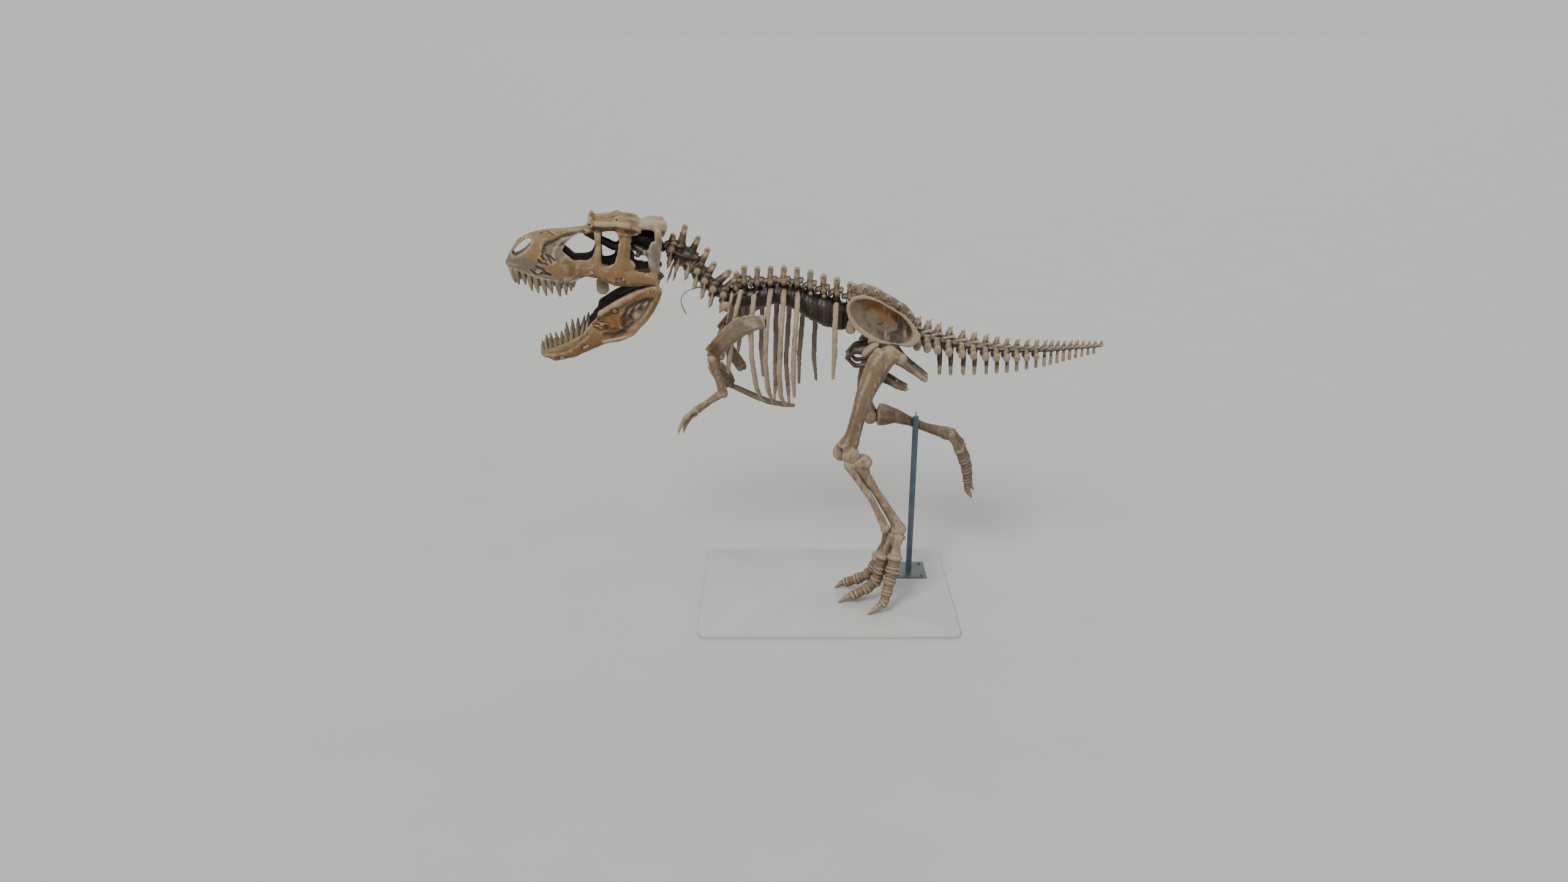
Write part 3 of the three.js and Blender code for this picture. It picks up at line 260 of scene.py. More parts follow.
def bone_paint(name, base, gloss=0.0):
    """Cast bone: mottled tan with stains, a dark wash in the hollows and worn ridges"""
    hue = {key: tuple(getattr(colours(), key)) for key in ("ridge", "ochre", "shade_and_streaks", "grey", "dark")}
    paint = Paint(name)
    hollow, ridged, stain_and_shade_share, greyed, darkened = (
        paint.attribute(key) for key in ("hollow", "ridge", "stain", "grey", "dark")
    )
    broad = paint.noise(3.2, 3.0, 0.6, bend=0.4)
    blotch = paint.noise(12.0, 4.0, 0.62, bend=0.8)
    grain = paint.noise(62.0, 3.0, 0.6)
    fine = paint.noise(210.0, 2.0, 0.5)
    pit = paint.pits(30.0)
    speck = paint.pits(80.0)
    # Ambient occlusion in the base colour: painted shade where surfaces close in
    closed = 1 - paint.node("ShaderNodeAmbientOcclusion", {"samples": 6}, {"Distance": 0.16}, "AO")

    tone = paint.mixed(broad.between(0.35, 0.68), base, tuple(c * 0.68 for c in base[:3]) + (1,))
    tone = paint.mixed(blotch.between(0.54, 0.76) * 0.45, tone, hue["ridge"])
    tone = paint.mixed((greyed + (blotch - 0.5) * 0.5 * greyed).clamped() * 0.9, tone, hue["grey"])
    tone = paint.mixed((stain_and_shade_share * (blotch * 1.1 + 0.35)).clamped() * 0.9, tone, hue["ochre"])
    # Raised places lighter: partly wear, partly a painted highlight
    worn = ridged.between(0.12, 0.8) * 0.7 * (grain * 0.7 + 0.5)
    tone = paint.mixed(worn.clamped(), tone, hue["ridge"])
    tone = paint.mixed((darkened * (grain * 0.5 + 0.68)).clamped(), tone, hue["dark"])
    # Pits and specks darkened towards near black: painted shade in small hollows
    pit_mask = pit.between(0.13, 0.05) * blotch.between(0.44, 0.56)
    speck_mask = speck.between(0.12, 0.05) * broad.between(0.42, 0.6)
    # Painted shade from the stored hollows and from ambient occlusion
    shade_and_streak_share = hollow.between(0.08, 0.9) * 0.82 + (closed.between(0.18, 0.95) * 0.85)
    tone = paint.mixed((shade_and_streak_share + (grain - 0.5) * 0.3 * hollow).clamped() * 0.95, tone, hue["shade_and_streaks"])
    tone = paint.mixed((pit_mask * 0.7 + speck_mask * 0.5).clamped(), tone, hue["shade_and_streaks"])
    height = grain * 0.5 + fine * 0.2 + blotch * 0.5 - pit_mask * 0.9 - speck_mask * 0.5
    normal = paint.bumped(height, 0.4, 0.004)
    roughness = blotch * 0.2 - darkened * 0.14 + (0.44 - gloss)
    return paint.finish(tone, roughness.clamped(), normal)


def metal_paint(name, base, chip):
    """Painted steel with worn specks and a faint brush"""
    paint = Paint(name)
    cloud = paint.noise(6.0, 3.0, 0.6)
    fine = paint.noise(160.0, 3.0, 0.6)
    speck = paint.noise(48.0, 4.0, 0.7)
    tone = paint.mixed(cloud.between(0.35, 0.7), base, tuple(c * 1.5 for c in base[:3]) + (1,))
    worn = speck.between(0.64, 0.72) * 0.8
    tone = paint.mixed(worn, tone, chip)
    normal = paint.bumped(fine * 0.4 - worn * 0.5, 0.25, 0.002)
    return paint.finish(tone, (cloud * 0.3 + 0.28).clamped(), normal, metal=0.15)


def board_paint(name, base, shade=0.9):
    """Matt painted board or floor with faint clouds"""
    paint = Paint(name)
    cloud = paint.noise(1.1, 3.0, 0.55)
    fine = paint.noise(90.0, 3.0, 0.6)
    tone = paint.mixed(cloud.between(0.3, 0.7), base, tuple(c * shade for c in base[:3]) + (1,))
    normal = paint.bumped(fine, 0.06, 0.002)
    return paint.finish(tone, (fine * 0.15 + 0.68).clamped(), normal, specular=0.2)


# Mesh helpers: a millimetre, and the distance in metres under which two points are one
MM = 0.001
SAME_POINT = 0.00002


def only(piece):
    bpy.ops.object.select_all(action="DESELECT")
    piece.select_set(True)
    bpy.context.view_layer.objects.active = piece


def linked(name, mesh):
    piece = bpy.data.objects.new(name, mesh)
    bpy.context.scene.collection.objects.link(piece)
    return piece


def cad_copy(node, name):
    """The node's own shape with its loose triangles merged"""
    piece = linked(name, frame["nodes"][node].data.copy())
    piece.data.materials.clear()
    only(piece)
    bpy.ops.object.mode_set(mode="EDIT")
    bpy.ops.mesh.select_all(action="SELECT")
    bpy.ops.mesh.remove_doubles(threshold=SAME_POINT)
    bpy.ops.object.mode_set(mode="OBJECT")
    return piece


UNITS = {}
RING_THICKNESS = 0.32


def unit(kind):
    """A ball, peg, tooth or ring of size 1 that is modelled once and copied"""
    if kind in UNITS:
        return UNITS[kind]
    bpy.ops.object.select_all(action="DESELECT")
    if kind == "ball":
        bpy.ops.mesh.primitive_uv_sphere_add(segments=14, ring_count=9, radius=1)
    elif kind == "peg":
        bpy.ops.mesh.primitive_cylinder_add(vertices=12, radius=1, depth=2)
    elif kind == "tooth":
        bpy.ops.mesh.primitive_cone_add(vertices=14, radius1=1, radius2=0.06, depth=2)
        bpy.ops.object.mode_set(mode="EDIT")
        bpy.ops.mesh.select_all(action="SELECT")
        bpy.ops.mesh.subdivide(number_cuts=7)
        bpy.ops.object.mode_set(mode="OBJECT")
    else:
        bpy.ops.mesh.primitive_torus_add(
            major_segments=18, minor_segments=8, major_radius=1, minor_radius=RING_THICKNESS
        )
    made = bpy.context.active_object
    made.data.materials.clear()
    UNITS[kind] = made.data
    bpy.data.objects.remove(made)
    return UNITS[kind]


def aimed(way):
    """A turn that lays the Z axis along a direction"""
    return way.normalized().to_track_quat("Z", "Y").to_matrix().to_4x4()


def into_frame(mesh, move):
    """Moves a mesh by a matrix in the sculptor's millimetres, then into the frame"""
    mesh.transform(move)
    mesh.transform(Matrix.Scale(MM, 4))
    mesh.transform(Matrix.Translation(SHIFT))


def stamp(kind, centre, half, turn=PLAIN, lean=None):
    """A copy of a unit with half sizes in mm at a sculptor's point, its length along lean"""
    mesh = unit(kind).copy()
    spin = PLAIN if lean is None else aimed(Vector(lean))
    into_frame(mesh, turn @ Matrix.Translation(Vector(centre)) @ spin @ Matrix.Diagonal((*half, 1)))
    return linked(kind, mesh)


def rod(start, end, first, last, turn=PLAIN, flat=1.0):
    """A tapered peg between two sculptor's points"""
    start, end = Vector(start), Vector(end)
    mesh = unit("peg").copy()
    points = read_points(mesh)
    width = first + (last - first) * (points[:, 2:3] + 1) / 2
    points[:, 0:1] *= width
    points[:, 1:2] *= width * flat
    points[:, 2] *= (end - start).length / 2
    mesh.vertices.foreach_set("co", points.ravel())
    into_frame(mesh, turn @ Matrix.Translation((start + end) / 2) @ aimed(end - start))
    return linked("peg", mesh)


def joined(pieces, name):
    bpy.ops.object.select_all(action="DESELECT")
    for piece in pieces:
        piece.select_set(True)
    bpy.context.view_layer.objects.active = pieces[0]
    bpy.ops.object.join()
    whole = bpy.context.active_object
    whole.name = name
    whole.data.name = name
    return whole


def read(items, key, width, kind=float):
    """One property of all items as an array with a row for each"""
    flat = np.empty(len(items) * width, dtype=kind)
    items.foreach_get(key, flat)
    return flat.reshape(-1, width)


def read_points(mesh):
    return read(mesh.vertices, "co", 3)


def read_normals(mesh):
    return read(mesh.vertex_normals, "vector", 3)


def write_points(mesh, points):
    mesh.vertices.foreach_set("co", points.ravel())
    mesh.update()


class Net:
    """The neighbours of every vertex, for smoothing"""

    def __init__(self, mesh):
        edges = read(mesh.edges, "vertices", 2, np.int64)
        self.starts = np.concatenate([edges[:, 0], edges[:, 1]])
        self.ends = np.concatenate([edges[:, 1], edges[:, 0]])
        self.size = len(mesh.vertices)
        self.count = np.maximum(np.bincount(self.starts, minlength=self.size), 1)

    def mean(self, values):
        columns = values.reshape(self.size, -1)
        total = [
            np.bincount(self.starts, column[self.ends], self.size) / self.count
            for column in columns.T
        ]
        return np.stack(total, axis=1).reshape(values.shape)

    def relaxed(self, points, rounds):
        """Rounds facets off without shrinking the bone"""
        for _ in range(rounds):
            points = points + 0.5 * (self.mean(points) - points)
            points = points - 0.53 * (self.mean(points) - points)
        return points

    def blurred(self, values, rounds):
        for _ in range(rounds):
            values = self.mean(values)
        return values


def cast(piece, grain, soft=0):
    """Makes one closed skin of what overlaps, in even small faces, and rounds it where soft"""
    only(piece)
    remesh = piece.modifiers.new("Cast", "REMESH")
    remesh.mode = "VOXEL"
    remesh.voxel_size = grain * 2 if soft else grain
    bpy.ops.object.modifier_apply(modifier="Cast")
    if soft:
        net = Net(piece.data)
        write_points(piece.data, net.relaxed(read_points(piece.data), soft))
        finer = piece.modifiers.new("Finer", "SUBSURF")
        finer.levels = 1
        finer.render_levels = 1
        bpy.ops.object.modifier_apply(modifier="Finer")
    return piece


def lumps(points, size, seed):
    """Smooth noise from about -1 to 1, its lumps of about the given size in metres"""
    scaled = points / size + seed * 7.31
    cell = np.floor(scaled).astype(np.int64)
    part = scaled - cell
    part = part * part * (3 - 2 * part)
    total = np.zeros(len(points))
    for corner in itertools.product((0, 1), repeat=3):
        key = cell + np.array(corner)
        mix = key[:, 0] * 73856093 ^ key[:, 1] * 19349663 ^ key[:, 2] * 83492791 ^ seed * 49979687
        mix = (mix ^ (mix >> 13)) * 1274126177 & 0x7FFFFFFF
        value = mix / 0x3FFFFFFF - 1
        weight = np.prod(np.where(np.array(corner), part, 1 - part), axis=1)
        total += value * weight
    return total


def soft_step(values):
    clipped = np.clip(values, 0, 1)
    return clipped * clipped * (3 - 2 * clipped)


def set_value(mesh, name, values):
    layer = mesh.attributes.get(name) or mesh.attributes.new(name, "FLOAT", "POINT")
    layer.data.foreach_set("value", np.ascontiguousarray(values, dtype=np.float32))


# The five tints: painted shade in hollows and a few dark streaks; lighter ridges (wear, pale patches and
# painted highlight); warm stains, also the painted shade under the brow; grey patches; dark bone, also
# painted shade inside the head and jaw and on the far side
TINTS = ("hollow", "ridge", "stain", "grey", "dark")


class Brush:
    """Soft marks on a cast bone, placed in the sculptor's side view and worked on both sides"""

    def __init__(self, points, normals, turn=PLAIN, middle=0.0):
        self.at = local(points, turn)
        self.out = normals @ np.array(turn.inverted())[:3, :3].T
        self.rise = np.zeros(len(points))
        self.tints = {name: np.zeros(len(points)) for name in TINTS}
        across = self.at[:, 1] - middle
        self.facing = soft_step((self.out[:, 1] * np.sign(across) - 0.1) / 0.4)

    def add(self, mask, rise=0.0, **tints):
        self.rise += mask * rise / 1000
        for name, amount in tints.items():
            self.tints[name] += mask * amount

    def axes(self, centre, tilt):
        """How far along and across a tilted direction of the side view"""
        turn = math.radians(tilt)
        dx, dz = self.at[:, 0] - centre[0], self.at[:, 2] - centre[1]
        along = dx * math.cos(turn) + dz * math.sin(turn)
        return along, dz * math.cos(turn) - dx * math.sin(turn)

    def oval(self, centre, size, tilt=0.0):
        """Distance from an oval's middle, 1 at its edge"""
        along, across = self.axes(centre, tilt)
        return np.hypot(along / size[0], across / size[1])

    def spot(self, centre, size, tilt=0.0, edge=0.5, side=True):
        mask = soft_step((1 + edge / 2 - self.oval(centre, size, tilt)) / edge)
        return mask * self.facing if side else mask

    def dab(self, centre, size, tilt=0.0, edge=0.5, side=True, **marks):
        self.add(self.spot(centre, size, tilt, edge, side), **marks)

    def line(self, points, width, side=True, **marks):
        self.add(self.stroke(points, width, side), **marks)

    def fibres(self, tilt, size, seed, along=0.18):
        """Noise drawn out along a direction of the side view"""
        turn = math.radians(tilt)
        x, y, z = self.at.T / 1000
        length = x * math.cos(turn) + z * math.sin(turn)
        across = z * math.cos(turn) - x * math.sin(turn)
        return lumps(np.stack([length * along, y * 0.3, across], axis=1), size, seed)

    def ring(self, centre, size, tilt=0.0, width=0.35):
        return soft_step(1 - np.abs(self.oval(centre, size, tilt) - 1) / width) * self.facing

    def stroke(self, line, width, side=True):
        """A soft line through points of the side view"""
        best = np.full(len(self.at), 1e9)
        flat = self.at[:, [0, 2]]
        for start, end in zip(line[:-1], line[1:]):
            start, end = np.array(start, float), np.array(end, float)
            way = end - start
            share = np.clip((flat - start) @ way / max(way @ way, 1e-6), 0, 1)
            best = np.minimum(best, np.linalg.norm(flat - start - share[:, None] * way, axis=1))
        mask = soft_step(1.3 - best / width)
        return mask * self.facing if side else mask

    def boss(self, centre, size, tilt=0.0):
        """A raised round boss inside a dark ring"""
        self.add(self.spot(centre, size, tilt), rise=4, ridge=0.35)
        self.add(self.ring(centre, (size[0] * 1.2, size[1] * 1.2), tilt, 0.25), rise=-3, hollow=0.5)

    def pit(self, centre, size, tilt=0.0):
        """A dark pit inside a raised ring"""
        self.add(self.spot(centre, size, tilt), rise=-6, hollow=0.9)
        self.add(self.ring(centre, (size[0] * 1.5, size[1] * 1.5), tilt), rise=4, ridge=0.6)


def weather(piece, seed, rough=0.0016, rounds=14, turn=PLAIN, middle=0.0, sculpt=None):
    """Rounds, sculpts and roughens a cast bone, then stores its hollows, ridges and stains"""
    mesh = piece.data
    net = Net(mesh)
    points = net.relaxed(read_points(mesh), rounds)
    write_points(mesh, points)
    brush = Brush(points, read_normals(mesh), turn, middle)
    if sculpt:
        sculpt(brush)
    swell = lumps(points, 0.11, seed) * 1.5 + lumps(points, 0.045, seed + 1)
    swell += lumps(points, 0.02, seed + 2) * 0.6
    points = points + read_normals(mesh) * (brush.rise + swell * rough)[:, None]
    write_points(mesh, points)
    normals = read_normals(mesh)
    near = np.einsum("ij,ij->i", net.blurred(points, 3) - points, normals)
    wide = np.einsum("ij,ij->i", net.blurred(points, 14) - points, normals)
    edge = np.sqrt(np.mean(np.sum((points[net.starts] - points[net.ends]) ** 2, axis=1)))
    # Concave places get painted shade, convex ones a lighter tone of wear and painted highlight
    bent = net.blurred(near / edge * 2.4 + wide / edge * 0.5, 1)
    brush.tints["hollow"] += np.maximum(bent, 0)
    brush.tints["ridge"] += np.maximum(-bent - 0.1, 0)
    for name, values in brush.tints.items():
        set_value(mesh, name, np.clip(values, 0, 1))
    return piece


def painted(piece, material):
    """Paints a piece and lets it ride on the one body"""
    piece.data.materials.clear()
    piece.data.materials.append(material)
    only(piece)
    bpy.ops.object.shade_smooth()
    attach(piece, "root")
    return piece


def dressed(piece, material, nodes):
    """Paints a piece that stands for its nodes, in their slot"""
    painted(piece, material)
    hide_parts(*nodes)
    slot = next(p["material_slot"] for p in frame["record"]["subparts"] if p["node"] == nodes[0])
    return piece


# Paints, made when they are first called for
PAINTS = {}


def paint_of(kind):
    if kind not in PAINTS:
        hue = {key: tuple(getattr(colours(), key)) for key in SkeletonColours.__annotations__}
        makers = {
            "bone": lambda: bone_paint("bone", hue["bone"]),
            "head": lambda: bone_paint("head_bone", hue["head"]),
            "teeth": lambda: bone_paint("tooth_enamel", hue["teeth"], 0.1),
            "dark": lambda: bone_paint("dark_bone", hue["brown"], 0.06),
            "pipe": lambda: metal_paint("pipe_paint", hue["pipe"], hue["plate"]),
            "plate": lambda: metal_paint("plate_paint", hue["plate"], hue["grey"]),
            "board": lambda: board_paint("board_paint", hue["floor"]),
        }
        PAINTS[kind] = makers[kind]()
    return PAINTS[kind]


def bone(node, kind="bone", seed=1, grain=None, extras=(), soft=0, **finish):
    """One cast bone in place of its node"""
    piece = joined([cad_copy(node, node), *extras], f"{node}_bone")
    cast(piece, grain or sizes().bone_grain, soft)
    weather(piece, seed, **finish)
    return dressed(piece, paint_of(kind), [node])


def ball(centre, half, turn=PLAIN, lean=None):
    return stamp("ball", centre, half, turn, lean)


def chain(points, radii, turn=PLAIN):
    """Tapered pegs and balls through sculptor's points"""
    pieces = [ball(point, (radius,) * 3, turn) for point, radius in zip(points, radii)]
    for start, end, first, last in zip(points[:-1], points[1:], radii[:-1], radii[1:]):
        pieces.append(rod(start, end, first, last, turn))
    return pieces


def moved(line, right, up):
    """A side view line set off by some millimetres"""
    return [(x + right, z + up) for x, z in line]


def at_side(line, side, depth):
    """Side view points put at a depth on one side"""
    return [(x, side * depth, z) for x, z in line]


# Skull
BROW = [(-1640, 3440), (-1560, 3428), (-1400, 3432), (-1240, 3400)]
SLITS = [
    [(-2089, 3154), (-2064, 3135)],
    [(-2087, 3131), (-2015, 3111)],
    [(-2060, 3181), (-2040, 3148)],
    [(-2018, 3194), (-1982, 3123)],
    [(-2000, 3189), (-1949, 3140)],
    [(-2156, 3065), (-2118, 3030)],
    [(-2108, 3094), (-2046, 3068)],
    [(-2072, 3036), (-1995, 3019)],
    [(-2048, 3054), (-1995, 3019)],
]
CHEEK_SLITS = [
    [(-1452, 2996), (-1446, 2950)],
    [(-1380, 3004), (-1376, 2956)],
    [(-1452, 2990), (-1380, 2996)],
]
FOSSA_EDGE = [
    (-1690, 3372), (-1759, 3362), (-1878, 3344), (-1963, 3304), (-2030, 3264),
    (-2048, 3214), (-2048, 3176), (-2022, 3142),
]
GUM_LINE = [
    (-2349, 3070), (-2233, 3037), (-2144, 3006), (-2056, 2972), (-1947, 2946), (-1837, 2940), (-1780, 2975),
]
TOOTH_RIM = [
    (-2338, 62, 3098), (-2279, 100, 3082), (-2222, 112, 3062), (-2160, 121, 3036), (-2090, 129, 3006),
    (-2012, 136, 2984), (-1943, 142, 2974), (-1879, 146, 2970), (-1830, 150, 2976), (-1786, 154, 3000),
]

# Swellings of the head: place and half sizes
HEAD_LUMPS = [
    (-1643, 182, 3441, 30, 22, 30), (-1634, 150, 3484, 20, 20, 24), (-1418, 156, 3474, 34, 30, 26),
    (-1330, 214, 3088, 52, 22, 56), (-1478, 212, 3066, 46, 22, 42), (-1600, 192, 3110, 44, 22, 44),
    (-1110, 150, 3418, 96, 34, 26), (-1571, 80, 2884, 64, 14, 72), (-1440, 170, 3424, 190, 42, 48),
    (-1430, 140, 3450, 190, 40, 34), (-1082, 200, 3330, 34, 20, 72), (-1120, 222, 3190, 64, 15, 112),
    (-1136, 228, 3100, 46, 15, 76), (-1247, 150, 3206, 24, 22, 24), (-1204, 176, 3196, 30, 24, 28),
    (-1222, 160, 3226, 26, 22, 22), (-1262, 176, 3168, 24, 20, 20), (-1072, 224, 3000, 28, 22, 30),
    (-1150, 232, 2974, 72, 28, 52), (-1300, 230, 2984, 130, 30, 66), (-1560, 204, 3040, 90, 26, 58),
    (-1362, 206, 3390, 74, 30, 60), (-1276, 196, 3380, 60, 30, 44), (-1760, 172, 3006, 46, 20, 26),
    (-1840, 170, 2972, 60, 22, 24),
]


def skull_extras():
    pieces = []
    for side in SIDES:
        pieces += chain([(x, side * y, z) for x, y, z in TOOTH_RIM], (22,) * len(TOOTH_RIM), HEAD)
        pieces += chain(at_side(BROW, side, 168), (30, 36, 46, 34), HEAD)
        pieces += [ball((x, side * y, z), half, HEAD) for x, y, z, *half in HEAD_LUMPS]
        pieces.append(rod((-1300, side * 120, 3250), (-1180, side * 200, 3190), 30, 26, HEAD))
    return pieces


def snout_low(x, z):
    """The underside of the snout, where the teeth stand"""
    return soft_step((3080 - z) / 40) * soft_step((-1760 - x) / 30)


def sculpt_fossa(brush):
    """The hollow in front of the large opening, with its curved folds"""
    x, y, z = brush.at.T
    brush.dab((-1950, 3232), (92, 100), -30, rise=-13, grey=0.35)
    brush.dab((-1850, 3316), (130, 36), 22, rise=-10, grey=0.2)
    # Painted shade along the hollow's edge
    brush.line(FOSSA_EDGE, 24, rise=-3, hollow=0.3)
    brush.line(FOSSA_EDGE, 9, rise=-3, hollow=0.35)
    basin = np.maximum(brush.spot((-1945, 3228), (92, 104), -30), brush.spot((-1850, 3312), (130, 36), 22))
    bow = np.hypot((x + 1690) / 1.5, z - 3180) / 1000
    folds = lumps(np.stack([bow * 2.4, y / 4000, z / 9000], axis=1), 0.042, 6)
    fine_folds = lumps(np.stack([bow * 2.4, y / 4000, z / 5000], axis=1), 0.017, 7)
    # Raised folds lighter, painted shade in the grooves between them
    brush.add(basin * np.maximum(folds, 0), rise=4, ridge=0.7)
    brush.add(basin * np.maximum(-folds, 0), rise=-4, hollow=0.35)
    brush.add(basin * np.maximum(-fine_folds, 0), rise=-2, hollow=0.22)
    brush.add(basin, grey=0.4)
    # Painted shade in the slits
    for slit in SLITS:
        brush.line(slit, 7, rise=-8, hollow=1.2)
    brush.boss((-2094, 3051), (26, 19))
    brush.boss((-1651, 3043), (19, 18))
    brush.boss((-1385, 2990), (16, 20))
    brush.pit((-1643, 3441), (11, 11))
    brush.pit((-1418, 3477), (12, 9))


def sculpt_snout(brush):
    """Grey-brown underneath, marks on the bridge, a rough rim over the teeth"""
    x, _, z = brush.at.T
    brush.dab((-2250, 3105), (150, 76), -14, edge=0.9, grey=1.0)
    brush.dab((-2080, 3040), (190, 60), -24, edge=0.9, grey=0.8)
    brush.line([(-2010, 2962), (-1900, 2960), (-1800, 2990)], 26, grey=0.8)
    # A groove on the bridge with painted shade, beside a lighter raised line
    brush.line([(-2060, 3358), (-2008, 3380), (-1978, 3362), (-1943, 3347)], 7, rise=-4, hollow=0.8)
    brush.line([(-1990, 3376), (-1940, 3350)], 6, rise=2, ridge=0.9)
    brush.line(GUM_LINE, 15, rise=4)
    # A groove above the rim over the teeth, with faint painted shade
    brush.line(moved(GUM_LINE, 4, 30), 12, rise=-3, hollow=0.12)
    # Painted shade on the downward-facing underside of the snout
    under = soft_step((-0.3 - brush.out[:, 2]) / 0.3) * snout_low(x, z)
    brush.add(under, hollow=0.55, grey=0.5)


def sculpt_cheek(brush):
    """Cheek and brow"""
    brush.dab((-1414, 2976), (40, 22), grey=0.8)
    # Painted shade in the slits and grooves of the cheek and brow
    for line in CHEEK_SLITS:
        brush.line(line, 6, rise=-2, hollow=0.5)
    for start in (-1354, -1326, -1298, -1270):
        brush.line([(start, 3392), (start + 34, 3356)], 6, rise=-3, hollow=0.5)
    brush.line([(-1354, 3378), (-1244, 3372)], 6, rise=-3, hollow=0.5)
    # Painted shade under the brow in warm brown and near black, and a painted highlight along its top
    under_brow = [(-1600, 3398), (-1509, 3394), (-1399, 3396), (-1290, 3372)]
    brush.line(under_brow, 30, rise=-6, stain=1.4, hollow=0.4)
    brush.line([(-1580, 3446), (-1460, 3444), (-1330, 3436)], 26, rise=5, ridge=0.45)
    brush.dab((-1700, 3050), (260, 60), 0, edge=1.0, stain=0.3)
    brush.dab((-1350, 3020), (170, 90), 0, edge=1.0, stain=0.4)
    # Darker and warmer along the cheek's lower edge
    brush.line([(-1660, 3020), (-1500, 2962), (-1400, 2944), (-1180, 2936)], 16, stain=0.8, hollow=0.3)


def sculpt_plates(brush):
    """The grey plate behind, the pale plate above it"""
    brush.dab((-1118, 3190), (78, 168), 8, edge=0.25, grey=1.2)
    brush.dab((-1140, 3150), (24, 90), 8, edge=0.9, ridge=0.25)
    # A groove with painted shade
    brush.line([(-1190, 3260), (-1184, 3120), (-1160, 3044)], 7, rise=-3, hollow=0.7)
    brush.dab((-1110, 3420), (125, 46), -6, edge=0.3, side=False, ridge=0.75)


def sculpt_inside(brush):
    """Everything inside is washed nearly black"""
    x, y, z = brush.at.T
    across = np.abs(y)
    inner = soft_step((150 - across) / 30) * soft_step((3372 - z) / 20) * soft_step((x + 1700) / 60)
    brush.add(inner, dark=1.0, hollow=0.6)
    turned_in = soft_step((-brush.out[:, 1] * np.sign(y) - 0.05) / 0.3)
    snout = soft_step((-1560 - x) / 40)
    brush.add(turned_in * snout * soft_step((3364 - z) / 20), dark=0.9, hollow=0.4)
    height = soft_step((3396 - z) / 20) * soft_step((z - 2960) / 20)
    brush.add(turned_in * (1 - snout) * height, dark=1.2, hollow=0.5)
    floor = soft_step((across - 20) / 30) * soft_step((212 - across) / 16)
    floor *= soft_step((brush.out[:, 2] - 0.3) / 0.3)
    brush.add(floor * soft_step((3110 - z) / 20) * soft_step((z - 3000) / 20), dark=0.9, hollow=0.4)
    wall = soft_step((0.5 - np.abs(brush.out[:, 1])) / 0.3) * soft_step((3396 - z) / 16)
    brush.add(wall * soft_step((z - 3090) / 20) * soft_step((x + 1590) / 30), hollow=0.5)
    # Dark patches where the openings show the inside: painted shade
    brush.add(brush.spot((-1240, 3220), (88, 74), side=False) * soft_step((212 - across) / 14), dark=1.1)
    brush.dab((-1070, 3000), (34, 36), side=False, dark=1.0)


def sculpt_tab(brush):
    """The tab that hangs from the palate"""
    _, y, z = brush.at.T
    tab = soft_step((128 - np.abs(y)) / 16) * soft_step((2990 - z) / 20)
    brush.tints["dark"] *= 1 - tab
    brush.tints["hollow"] *= 1 - tab
    brush.add(tab, ridge=0.45)
    # A groove round the tab with faint painted shade
    brush.add(brush.ring((-1571, 2876), (44, 54), 14, 0.16) * tab, rise=-2, hollow=0.3)


def sculpt_skull(brush):
    for part in (sculpt_fossa, sculpt_snout, sculpt_cheek, sculpt_plates, sculpt_inside, sculpt_tab):
        part(brush)


# Teeth: root and tip in the side view and the distance from the middle
UPPER_TEETH = [
    (-2314, 3062, -2294, 2973, 88), (-2279, 3054, -2266, 2955, 102), (-2222, 3030, -2209, 2951, 112),
    (-2173, 3010, -2161, 2894, 120), (-2124, 2990, -2110, 2873, 126), (-2066, 2972, -2043, 2845, 132),
    (-2012, 2962, -1992, 2862, 136), (-1943, 2952, -1930, 2833, 142), (-1879, 2950, -1877, 2845, 146),
    (-1841, 2954, -1833, 2876, 150), (-1812, 2960, -1814, 2907, 150),
]
LOWER_TEETH = [
    (-2111, 2330, -2131, 2419, 52), (-2083, 2332, -2093, 2460, 68), (-2044, 2340, -2058, 2466, 82),
    (-1995, 2352, -2013, 2464, 94), (-1956, 2366, -1963, 2462, 104), (-1907, 2392, -1915, 2535, 116),
    (-1857, 2420, -1862, 2553, 126), (-1817, 2446, -1810, 2556, 134), (-1771, 2484, -1752, 2568, 144),
    (-1726, 2522, -1717, 2592, 154),
]
TOOTH_ROOT = 34
TOOTH_PROFILE = (
    (0, 1.0), (0.39, 0.98), (0.55, 0.92), (0.69, 0.8), (0.81, 0.6), (0.905, 0.42), (0.97, 0.46), (1.0, 0.14),
)


def tooth(root, tip, radius, turn):
    """A slim blunt cone"""
    mesh = unit("tooth").copy()
    points = read_points(mesh)
    height = 1 - np.clip((1 - points[:, 2]) / 2, 0, 1) ** 1.7
    girth = np.interp(height, *zip(*TOOTH_PROFILE))
    across = np.linalg.norm(points[:, :2], axis=1)
    points[:, :2] *= (girth * radius / np.maximum(across, 1e-6))[:, None] * (across > 1e-4)[:, None]
    points[:, 2] = height * (tip - root).length
    mesh.vertices.foreach_set("co", points.ravel())
    to_frame = Matrix.Translation(SHIFT) @ Matrix.Scale(MM, 4)
    mesh.transform(to_frame @ turn @ Matrix.Translation(root) @ aimed(tip - root))
    return linked("tooth", mesh)


